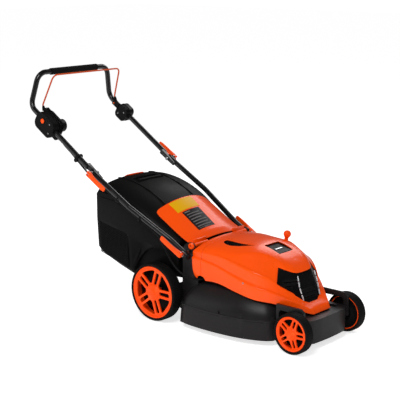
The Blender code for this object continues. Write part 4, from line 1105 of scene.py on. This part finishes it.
def buildLid():
    rows = []
    angles = [math.radians(k) for k in (90, 72, 54, 36, 18, 0)]
    first, last = boxStations[0], boxStations[-1]
    for index, (y, half, _, _, rim, crown) in enumerate(boxStations):
        rise = crown + 2 - rim
        rows.append([(half * math.cos(a) if a < 1.57 else 0, y, rim + 0.4 + rise * math.sin(a) ** 0.9)
                     for a in angles])
    rows.insert(0, [(x, first[0] + 0.5, first[4] + 0.4) for x, _, _ in rows[0]])
    rows.append([(x, last[0] - 0.5, last[4] + 0.4) for x, _, _ in rows[-1]])
    creases = ([((1, c), (1, c + 1), 0.85) for c in range(5)] + [((9, c), (9, c + 1), 0.6) for c in range(5)]
               + [((r, 4), (r + 1, 4), 0.25) for r in range(1, 9)])
    lid = cageSurface("boxLid", rows, creases, 3)
    wallOf(lid, boxSet["lidWall"], -1)
    pocket = slab("pocket", (-62, 775, 438), (62, 818, 490))
    softened(pocket, 9, 4, 60)
    cutBy(lid, pocket)
    softened(lid, 0.7, 2, 50)
    smooth(lid, 35)
    return lid


boxLid = buildLid()
fitted(boxLid, "grass_box", "boxPlastic", "grass_box_lid")
pocketRim = slab("pocketCup", (-61.5, 775.5, 436), (61.5, 817.5, 462))
editing(pocketRim, lambda face: face.normal.z > 0.9)
bpy.ops.mesh.delete(type="FACE")
leaveEditing()
cup = pocketRim.modifiers.new("wall", "SOLIDIFY")
cup.thickness = 1.6 * mm
cup.offset = -1
softened(pocketRim, 1.2, 2, 50)
smooth(pocketRim, 35)
fitted(pocketRim, "grass_box", "boxPlastic")
gripLow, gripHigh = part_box("grass_box_grip")
nothingSelected()
bpy.ops.mesh.primitive_cube_add(size=1, location=(gripLow + gripHigh) / 2)
grip = bpy.context.object
grip.name = "boxGrip"
grip.scale = gripHigh - gripLow
settle(grip)
softened(grip, 6.5, 5, 60)
grip.modifiers.new("ribs", "SUBSURF").levels = 1
applyAll(grip)
smooth(grip, 40)
fitted(grip, "grass_box", "boxPlastic", "grass_box_grip")

# the lid's raised ridges, one on each side, beside the grip
ridges = []
for sign in (-1, 1):
    path = []
    for k in range(15):
        y = 560 + k * 22
        _, half, _, _, rim, crown = rimAt(y)
        a = math.radians(63)
        path.append(spot(sign * half * math.cos(a), y, rim + (crown - rim) * math.sin(a) ** 0.9 + 0.6))
    ridges.append(bentTube("ridge", path, 3.2, 0, 4))
ridge = joined("lidRidges", *ridges)
smooth(ridge, 45)
fitted(ridge, "grass_box", "boxPlastic")

tub = softCopy("grass_box_tub", "boxTub", 0)
window = [(727, 158), (868, 196), (872, 312), (727, 286)]
for sign in (-1, 1):
    cutBy(tub, outlinePrism("meshWindow", roundedLoop(onSide(window, sign * 184), 10), (-sign * 0.03, 0, 0)))
softened(tub, 0.5, 1, 50)
smooth(tub, 30)
fitted(tub, "grass_box", "boxPlastic")


def buildMesh():
    # grid of small square holes, then thickened into a wall
    nothingSelected()
    wide, tall = 21, 19
    bpy.ops.mesh.primitive_grid_add(x_subdivisions=wide, y_subdivisions=tall, size=1)
    grid = bpy.context.object
    grid.name = "sideMesh"
    for vertex in grid.data.vertices:
        u, v = vertex.co.x + 0.5, vertex.co.y + 0.5
        low = Vector(window[0]).lerp(Vector(window[1]), u)
        high = Vector(window[3]).lerp(Vector(window[2]), u)
        y, z = low.lerp(high, v)
        slope = 4.5 * max(0.0, (230 - z) / 80)
        vertex.co = spot(178.6 - slope, y, z)
    editing(grid)
    bpy.ops.mesh.select_all(action="SELECT")
    bpy.ops.mesh.inset(thickness=boxSet["meshHole"] * mm, use_individual=True)
    bpy.ops.mesh.delete(type="FACE")
    leaveEditing()
    wallOf(grid, 1.6, 0)
    return grid


mesh = buildMesh()
twin = copied(mesh, "twin", mirrorX)
mesh = joined("sideMeshes", mesh, twin)
smooth(mesh, 30)
fitted(mesh, "grass_box", "boxPlastic")

ribs = []
for sign in (-1, 1):
    y = 552
    while y < 720:
        _, half, _, _, rim, _ = rimAt(y)
        middle = sign * (half + 0.9)
        rib = slab("rib", (middle - 1.6, y, rim - 19), (middle + 1.6, y + 2.2, rim - 4))
        softened(rib, 0.5, 1, 60)
        ribs.append(rib)
        y += boxSet["ribPitch"]
    for lift, radius in ((-2.4, 2.4), (-21, 1.7)):
        path = [spot(sign * (rimAt(y)[1] + 0.2), y, rimAt(y)[4] + lift) for y in range(510, 888, 14)]
        ribs.append(bentTube("band", path, radius, 0, 4))
band = joined("rimBand", *ribs)
smooth(band, 40)
fitted(band, "grass_box", "boxPlastic")

levelLow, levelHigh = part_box("level_flap")
nothingSelected()
bpy.ops.mesh.primitive_cube_add(size=1, location=(levelLow + levelHigh) / 2)
level = bpy.context.object
level.name = "levelFlap"
level.scale = levelHigh - levelLow
settle(level)
editing(level)
bpy.ops.mesh.select_all(action="SELECT")
bpy.ops.mesh.subdivide(number_cuts=5)
leaveEditing()
for vertex in level.data.vertices:  # laid on the lid, following its curve
    hit, where, normal, face = boxLid.ray_cast(Vector((vertex.co.x, vertex.co.y, 1)), Vector((0, 0, -1)))
    if hit:
        vertex.co.z += where.z + 0.6 * mm - levelLow.z
editing(level, lambda face: face.normal.z > 0.9)
bpy.ops.mesh.inset(thickness=4 * mm, depth=0)
bpy.ops.mesh.inset(thickness=0.8 * mm, depth=-0.9 * mm)
leaveEditing()
softened(level, 0.8, 3, 45)
smooth(level, 35)
fitted(level, "level_indicator", "satinOrange", "level_flap")
print("grass box ready")

# handle
lowerPivot, upperPivot = (452, 263), (871, 495)
slopeAngle = math.atan2(upperPivot[1] - lowerPivot[1], upperPivot[0] - lowerPivot[0])
alongLower = Vector((0, math.cos(slopeAngle), math.sin(slopeAngle)))
acrossLower = Vector((0, -math.sin(slopeAngle), math.cos(slopeAngle)))
armAngle = math.atan2(212, 330)
alongArm = Vector((0, math.cos(armAngle), math.sin(armAngle)))
squareArm = Vector((0, -alongArm.z, alongArm.y))
handleSet = {"radius": 10}


def onLower(x, y, drop=0.0):
    return spot(x, y, lowerPivot[1] + (y - lowerPivot[0]) * math.tan(slopeAngle) - drop)


def onArm(u, x=0.0, square=0.0):
    return spot(x, *upperPivot) + (alongArm * u + squareArm * square) * mm


for side, sign in (("left", 1), ("right", -1)):
    tube = bentTube("lowerTube" + side.capitalize(), [
        onLower(sign * 178, 431), onLower(sign * 178, 515), onLower(sign * 206, 690),
        onLower(sign * 206, 881)], handleSet["radius"], 90, 8, 10)
    fitted(tube, "lower_handle", "powderCoat", f"lower_tube_{side}")
    ends = []
    for place, way in ((onLower(sign * 178, 431), -alongLower), (onLower(sign * 206, 881), alongLower)):
        ends.append(turnedBody("cap", place - way * 2 * mm, [
            (10.4, -6), (10.9, -5), (10.9, 1), (9.6, 3), (0, 3.6)], 32, way))
    cap = joined("tubeCaps" + side.capitalize(), *ends)
    smooth(cap, 40)
    fitted(cap, "lower_handle", "trimPlastic")

upper = bentTube("upperTube", [
    onArm(33, -206), onArm(400, -206), spot(-178, 1190, 836), spot(178, 1190, 836), onArm(400, 206),
    onArm(33, 206)], handleSet["radius"], 42, 8, 12)
tongues = [upper]
for sign in (-1, 1):
    nothingSelected()
    bpy.ops.mesh.primitive_cube_add(size=1, location=(0, 0, 0))
    tongue = bpy.context.object
    tongueX = 206 - 10 - 0.4
    for vertex in tongue.data.vertices:
        far = vertex.co.y > 0
        u, tall = (46, 9.0) if far else (-36, 6.5)
        inner = vertex.co.x * sign < 0
        x = tongueX - (6.0 if far else 5.2) if inner else tongueX + (14 if far else 0)
        vertex.co = onArm(u, sign * x, tall if vertex.co.z > 0 else -tall)
    editing(tongue)
    bpy.ops.mesh.select_all(action="SELECT")
    bpy.ops.mesh.subdivide(number_cuts=3)
    leaveEditing()
    merged(tongue, 0.01)
    softened(tongue, 2.2, 3, 50)
    tongues.append(tongue)
upper = joined("upperTube", *tongues)
smooth(upper, 45)
fitted(upper, "upper_handle", "powderCoat", "upper_tube")

sleeveLow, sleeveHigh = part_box("grip_sleeve")
sleeveHalf = (sleeveHigh.x - sleeveLow.x) / 2 / mm
profile = [(10.3, -sleeveHalf), (12.4, -sleeveHalf), (12.9, -sleeveHalf + 1.4), (12.9, -sleeveHalf + 5)]
for k in range(31):
    at = -sleeveHalf + 8 + k * (2 * sleeveHalf - 16) / 30
    profile += [(12.9, at - 1.6), (12.35, at - 0.5), (12.35, at + 0.5), (12.9, at + 1.6)]
profile += [(12.9, sleeveHalf - 5), (12.9, sleeveHalf - 1.4), (12.4, sleeveHalf), (10.3, sleeveHalf)]
sleeve = turnedBody("gripSleeve", (sleeveLow + sleeveHigh) / 2, profile, 40, "X", True)
smooth(sleeve, 50)
fitted(sleeve, "upper_handle", "gripFoam", "grip_sleeve")
print("handle tubes ready")


def armCase(name, u0, u1, x0, x1, s0, s1, corner, edge):
    # a moulded case on the upper arm: a cube turned into the arm's line, its cross corners rounded
    nothingSelected()
    bpy.ops.mesh.primitive_cube_add(size=1, location=(0, 0, 0))
    case = bpy.context.object
    case.name = name
    for vertex in case.data.vertices:
        place = vertex.co
        vertex.co = onArm(u1 if place.y > 0 else u0, x1 if place.x > 0 else x0, s1 if place.z > 0 else s0)
    editing(case, None, "EDGE")
    work = bmesh.from_edit_mesh(case.data)
    for line in work.edges:
        line.select_set(abs(line.verts[0].co.x - line.verts[1].co.x) > 0.01)
    bmesh.update_edit_mesh(case.data)
    bpy.ops.mesh.bevel(offset=corner * mm, segments=8, affect="EDGES")
    leaveEditing()
    merged(case, 0.01)
    for x in sorted((x0, x1)):
        out = -1 if x == min(x0, x1) else 1
        editing(case, lambda face: face.normal.x * out > 0.9)
        bpy.ops.mesh.inset(thickness=5.5 * mm, depth=0)
        bpy.ops.mesh.inset(thickness=1.1 * mm, depth=-0.9 * mm)
        leaveEditing()
    for plane in (x0 + (x1 - x0) * 0.48, x0 + (x1 - x0) * 0.52):
        editing(case)
        bpy.ops.mesh.select_all(action="SELECT")
        bpy.ops.mesh.bisect(plane_co=(plane * mm, 0, 0), plane_no=(1, 0, 0))
        leaveEditing()
    low, high = sorted((x0 + (x1 - x0) * 0.48, x0 + (x1 - x0) * 0.52))
    editing(case, lambda face: (low * mm < face.calc_center_median().x < high * mm
                                and abs(face.normal.x) < 0.5))
    bpy.ops.mesh.extrude_region_shrink_fatten(TRANSFORM_OT_shrink_fatten={"value": 1.0 * mm})
    leaveEditing()
    softened(case, edge, 3, 50)
    return case


def channel(case, sign):
    # the tube passes through the case
    start, end = onArm(150, sign * 206), onArm(450, sign * 206)
    cutBy(case, bentTube("channel", [start, end], handleSet["radius"] + 0.4, 0, 8))


def lug(sign):
    piece = armCase("lug", 318, 351, sign * 177.6, sign * 181.6, 3, 21, 5, 0.5)
    return piece


switch = armCase("switchCase", 236, 338, -227, -172, -34, 34, 23, 1.4)
channel(switch, -1)
seat = turnedBody("seat", spot(-217.2, 1120, 664), [(0, 0), (9.4, 0), (9.4, 14), (0, 14)], 40, "-X")
cutBy(switch, seat)
socketSeat = turnedBody("seat", onArm(275, -178, -4), [(0, 0), (20.4, 0), (20.4, 12), (0, 12)], 48, "X")
cutBy(switch, socketSeat)
ribsOn = []
for k in range(3):
    rib = armCase("caseRib", 233.4, 340.6, -197 + k * 7, -194 + k * 7, -36.4, 36.4, 24, 0.6)
    ribsOn.append(rib)
for rib in ribsOn:
    cutBy(switch, rib, "UNION")
channel(switch, -1)
cutBy(switch, lug(-1), "UNION")
smooth(switch, 32)
fitted(switch, "upper_handle", "trimPlastic", "switch_box")
bezel = turnedBody("buttonBezel", spot(-226.6, 1120, 664), [
    (9.6, -1), (12.6, -1), (12.6, 0.4), (11.8, 1.2), (10.4, 1.2), (9.6, 0.6)], 48, "-X", True)
smooth(bezel, 35)
fitted(bezel, "upper_handle", "trimPlastic")
button = turnedBody("lockButton", spot(-220, 1120, 664), [
    (0, 0), (9, 0), (9, 6.6), (8.4, 8.4), (7, 9.4), (4, 9.6), (3.4, 9.2), (0, 9.0)], 48, "-X")
smooth(button, 40)
fitted(button, "button_body", "satinOrange", "lock_button")

socket = turnedBody("inletSocket", onArm(275, -177.6, -4), [
    (0, 0), (20, 0), (20, 6), (23.4, 7), (24, 8.4), (24, 13), (23.2, 14), (23.2, 17), (24, 18),
    (24, 36.6), (22.8, 38.6), (20, 40), (18, 40), (17.6, 39), (17.6, 10), (0, 10)], 64, "X")
smooth(socket, 35)
fitted(socket, "upper_handle", "trimPlastic", "inlet_socket")
pins = []
for k in range(3):
    turn = math.radians(90 + 120 * k)
    at = onArm(275 + 7.5 * math.cos(turn), -168, -4 + 7.5 * math.sin(turn))
    pins.append(turnedBody("pin", at, [(0, 0), (2.2, 0), (2.2, 17), (1.6, 18.6), (0, 19)], 20, "X"))
pin = joined("socketPins", *pins)
smooth(pin, 40)
fitted(pin, "upper_handle", "brassPin")

bailCase = armCase("bailCase", 264, 322, 181, 222, -29, 29, 17, 1.6)
channel(bailCase, 1)
cutBy(bailCase, lug(1), "UNION")
smooth(bailCase, 32)
fitted(bailCase, "upper_handle", "trimPlastic", "bail_box")
caseScrews = []
for x, u, s, way in ((-227, 252, -14, "-X"), (-227, 262, 20, "-X"), (222, 278, 0, "X"), (222, 308, 12, "X"),
                     (181, 280, 10, "-X"), (181, 306, -12, "-X")):
    head = [(0, 0.2), (1.3, 0.2), (1.4, 0.9), (2.9, 0.8), (3.3, 0), (3.3, -2)]
    caseScrews.append(turnedBody("screw", onArm(u, x, s), head, 20, way))
screws = joined("caseScrews", *caseScrews)
smooth(screws, 35)
fitted(screws, "upper_handle", "zincSteel")

bailRod = bentTube("bailRod", [
    spot(-175, 1152, 690), spot(-188, 1152, 690), spot(-189, 1160, 716), spot(-172, 1112, 832),
    spot(172, 1112, 832), spot(189, 1160, 716), spot(188, 1152, 690), spot(175, 1152, 690)], 3.0, 22, 6, 8)
fitted(bailRod, "bail_body", "bailCoat", "bail")
boots = []
for sign in (-1, 1):
    foot, top = spot(sign * 188.4, 1154, 699), spot(sign * 188.8, 1157.5, 716)
    way = (top - foot).normalized()
    boots.append(turnedBody("boot", foot, [
        (3.1, -3), (6.6, -3), (7.2, -1.6), (6.2, 1), (6.8, 3), (5.6, 5), (6.2, 7), (5.0, 9.4), (5.4, 11),
        (4.2, 14), (3.1, 16)], 32, way, True))
boot = joined("bailBoots", *boots)
smooth(boot, 45)
fitted(boot, "bail_body", "gripFoam")
print("switch and bail ready")

# cam levers
leverSet = {"stations": [(-8, 0, 6.2, 8.5), (0, 0, 7.2, 9), (9, 0.6, 7.0, 9), (20, 2.4, 5.4, 8.6),
                         (38, 4.6, 3.9, 8.4),
                         (60, 5.2, 3.4, 9), (80, 4.6, 3.2, 9.8), (94, 4.2, 2.8, 9), (98, 4, 2.2, 6.4)]}


def buildLever(name, centre, way, out):
    nothingSelected()
    bpy.ops.mesh.primitive_cube_add(size=1, location=(0, 0, 0))
    lever = bpy.context.object
    lever.name = name
    stations = leverSet["stations"]

    def put(verts, station):
        u, dx, thick, wide = station
        for vertex, (a, b) in verts:
            vertex.co = centre + (way * u + out * (dx + a * thick) + acrossLower * (b * wide)) * mm

    marks = [(1 if v.co.x > 0 else -1, 1 if v.co.z > 0 else -1) for v in lever.data.vertices]
    near = [(v, m) for v, m in zip(lever.data.vertices, marks) if v.co.y < 0]
    ahead = [(v, m) for v, m in zip(lever.data.vertices, marks) if v.co.y > 0]
    put(near, stations[0])
    put(ahead, stations[1])
    previous = stations[1]
    editing(lever)
    work = bmesh.from_edit_mesh(lever.data)
    work.faces.ensure_lookup_table()
    far = max(work.faces, key=lambda f: (f.calc_center_median() - centre).dot(way))
    far.select_set(True)
    bmesh.update_edit_mesh(lever.data)
    for station in stations[2:]:
        step = way * (station[0] - previous[0]) * mm
        bpy.ops.mesh.extrude_region_move(TRANSFORM_OT_translate={"value": tuple(step)})
        work = bmesh.from_edit_mesh(lever.data)
        for vertex in [v for v in work.verts if v.select]:
            offset = vertex.co - centre
            a = 1 if offset.dot(out) / mm > previous[1] else -1
            b = 1 if offset.dot(acrossLower) > 0 else -1
            u, dx, thick, wide = station
            vertex.co = centre + (way * u + out * (dx + a * thick) + acrossLower * (b * wide)) * mm
        bmesh.update_edit_mesh(lever.data)
        previous = station
    leaveEditing()
    merged(lever, 0.01)
    softened(lever, 1.8, 2, 45)
    lever.modifiers.new("round", "SUBSURF").levels = 1
    applyAll(lever)
    fork = slab("fork", (-1, -1, -1), (1, 1, 1))
    for vertex, corner in zip(fork.data.vertices, [(v.co - spot(0, 0, 0)) / mm for v in fork.data.vertices]):
        vertex.co = centre + (way * (7 if corner.y > 0 else -14) + out * (12 * corner.x)
                              + acrossLower * (3.6 * corner.z)) * mm
    cutBy(lever, fork)
    cutBy(lever, bentTube("bore", [centre - acrossLower * 0.014, centre + acrossLower * 0.014], 2.9, 0, 5))
    grooveEnds = [centre + (way * 24 + out * 8.9) * mm, centre + (way * 56 + out * 9.6) * mm]
    groove = bentTube("groove", grooveEnds, 1.7, 0, 5)
    cutBy(lever, groove)
    merged(lever, 0.005)
    smooth(lever, 40)
    return lever


for place, tubeX, pivot in (("lower", 178, lowerPivot), ("upper", 206, upperPivot)):
    for side, sign in (("left", 1), ("right", -1)):
        down = place == "upper" and side == "right"
        centre = spot(sign * (tubeX + 24), *pivot)
        lever = buildLever(f"{place}Cam{side.capitalize()}", centre, -alongLower if down else alongLower,
                           Vector((sign, 0, 0)))
        fitted(lever, f"{place}_cam_{side}", "satinOrange", f"{place}_lever_{side}")
print("cam levers ready")

# lead: the pieces where it crosses a fold keep their place with the transform baked, and join neither body
def bending(obj, node):
    obj.data.materials.clear()
    obj.data.materials.append(finishes["leadSheath"])
    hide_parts(node)
    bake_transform(obj)


leadSet = {"radius": 3.2}
glandStart, glandEnd = onArm(233, -186, -22), onArm(205, -186, -25)
glandWay = (glandEnd - glandStart).normalized()
length = (glandEnd - glandStart).length / mm
profile = [(6.4, -2), (6.6, 0)]
for k in range(6):
    at = 3 + k * 4
    waist = 5.3 - k * 0.3
    profile += [(6.2 - k * 0.32, at - 0.9), (waist, at), (waist, at + 1.4), (6.1 - k * 0.32, at + 2.3)]
profile += [(3.9, length), (3.2, length)]
gland = turnedBody("leadGland", glandStart, profile, 32, glandWay)
smooth(gland, 45)
fitted(gland, "upper_handle", "gripFoam", "cable_gland", slot="trim_black")


def swept(points, per=6):
    # a smooth curve through the points
    points = [Vector(p) for p in points]
    padded = [points[0] * 2 - points[1], *points, points[-1] * 2 - points[-2]]
    path = []
    for a, b, c, d in zip(padded, padded[1:], padded[2:], padded[3:]):
        for k in range(per):
            t = k / per
            path.append(0.5 * (2 * b + (c - a) * t + (2 * a - 5 * b + 4 * c - d) * t * t
                               + (3 * b - a - 3 * c + d) * t ** 3))
    return path + [points[-1]]


leadUpper = bentTube("leadUpper", swept([
    glandEnd - glandWay * 0.004, onArm(180, -190, -24), onArm(140, -198, -18), onArm(92, -206, -14.5),
    onArm(69, -206, -16)]), leadSet["radius"], 0, 5)
fitted(leadUpper, "upper_handle", "leadSheath", "cable_upper")
leadLoop = bentTube("leadLoop", swept([
    onArm(69, -206, -16), spot(-207, 905, 496), spot(-209, 862, 468), spot(-207, 820, 449),
    onLower(-206, 780, 17), onLower(-206, 720, 16)]), leadSet["radius"], 0, 5)
bending(leadLoop, "cable_loop")
leadLower = bentTube("leadLower", swept([
    onLower(-206, 720, 16), onLower(-203, 690, 16), onLower(-192, 600, 17), onLower(-187, 565, 20)]),
    leadSet["radius"], 0, 5)
fitted(leadLower, "lower_handle", "leadSheath", "cable_lower")
leadTail = bentTube("leadTail", swept([
    onLower(-187, 565, 20), spot(-190, 532, 268), spot(-190, 500, 225), spot(-186, 462, 193),
    spot(-176, 424, 178), spot(-168, 396, 177), spot(-140, 380, 177), spot(-66, 318, 182)]),
    leadSet["radius"], 0, 5)
bending(leadTail, "cable_tail")
clip = softCopy("cable_clip", "leadClip", 0.8)
smooth(clip, 35)
fitted(clip, "upper_handle", "trimPlastic")
ties = []
for y in (742, 640):
    x = -206 if y > 690 else -197
    at = onLower(x, y, 7.5)
    band = [(13.2, -2.4), (14.6, -2.2), (14.6, 2.2), (13.2, 2.4)]
    ties.append(turnedBody("tie", at, band, 40, alongLower, True))
tie = joined("leadTies", *ties)
smooth(tie, 40)
fitted(tie, "lower_handle", "trimPlastic")
print("lead ready")
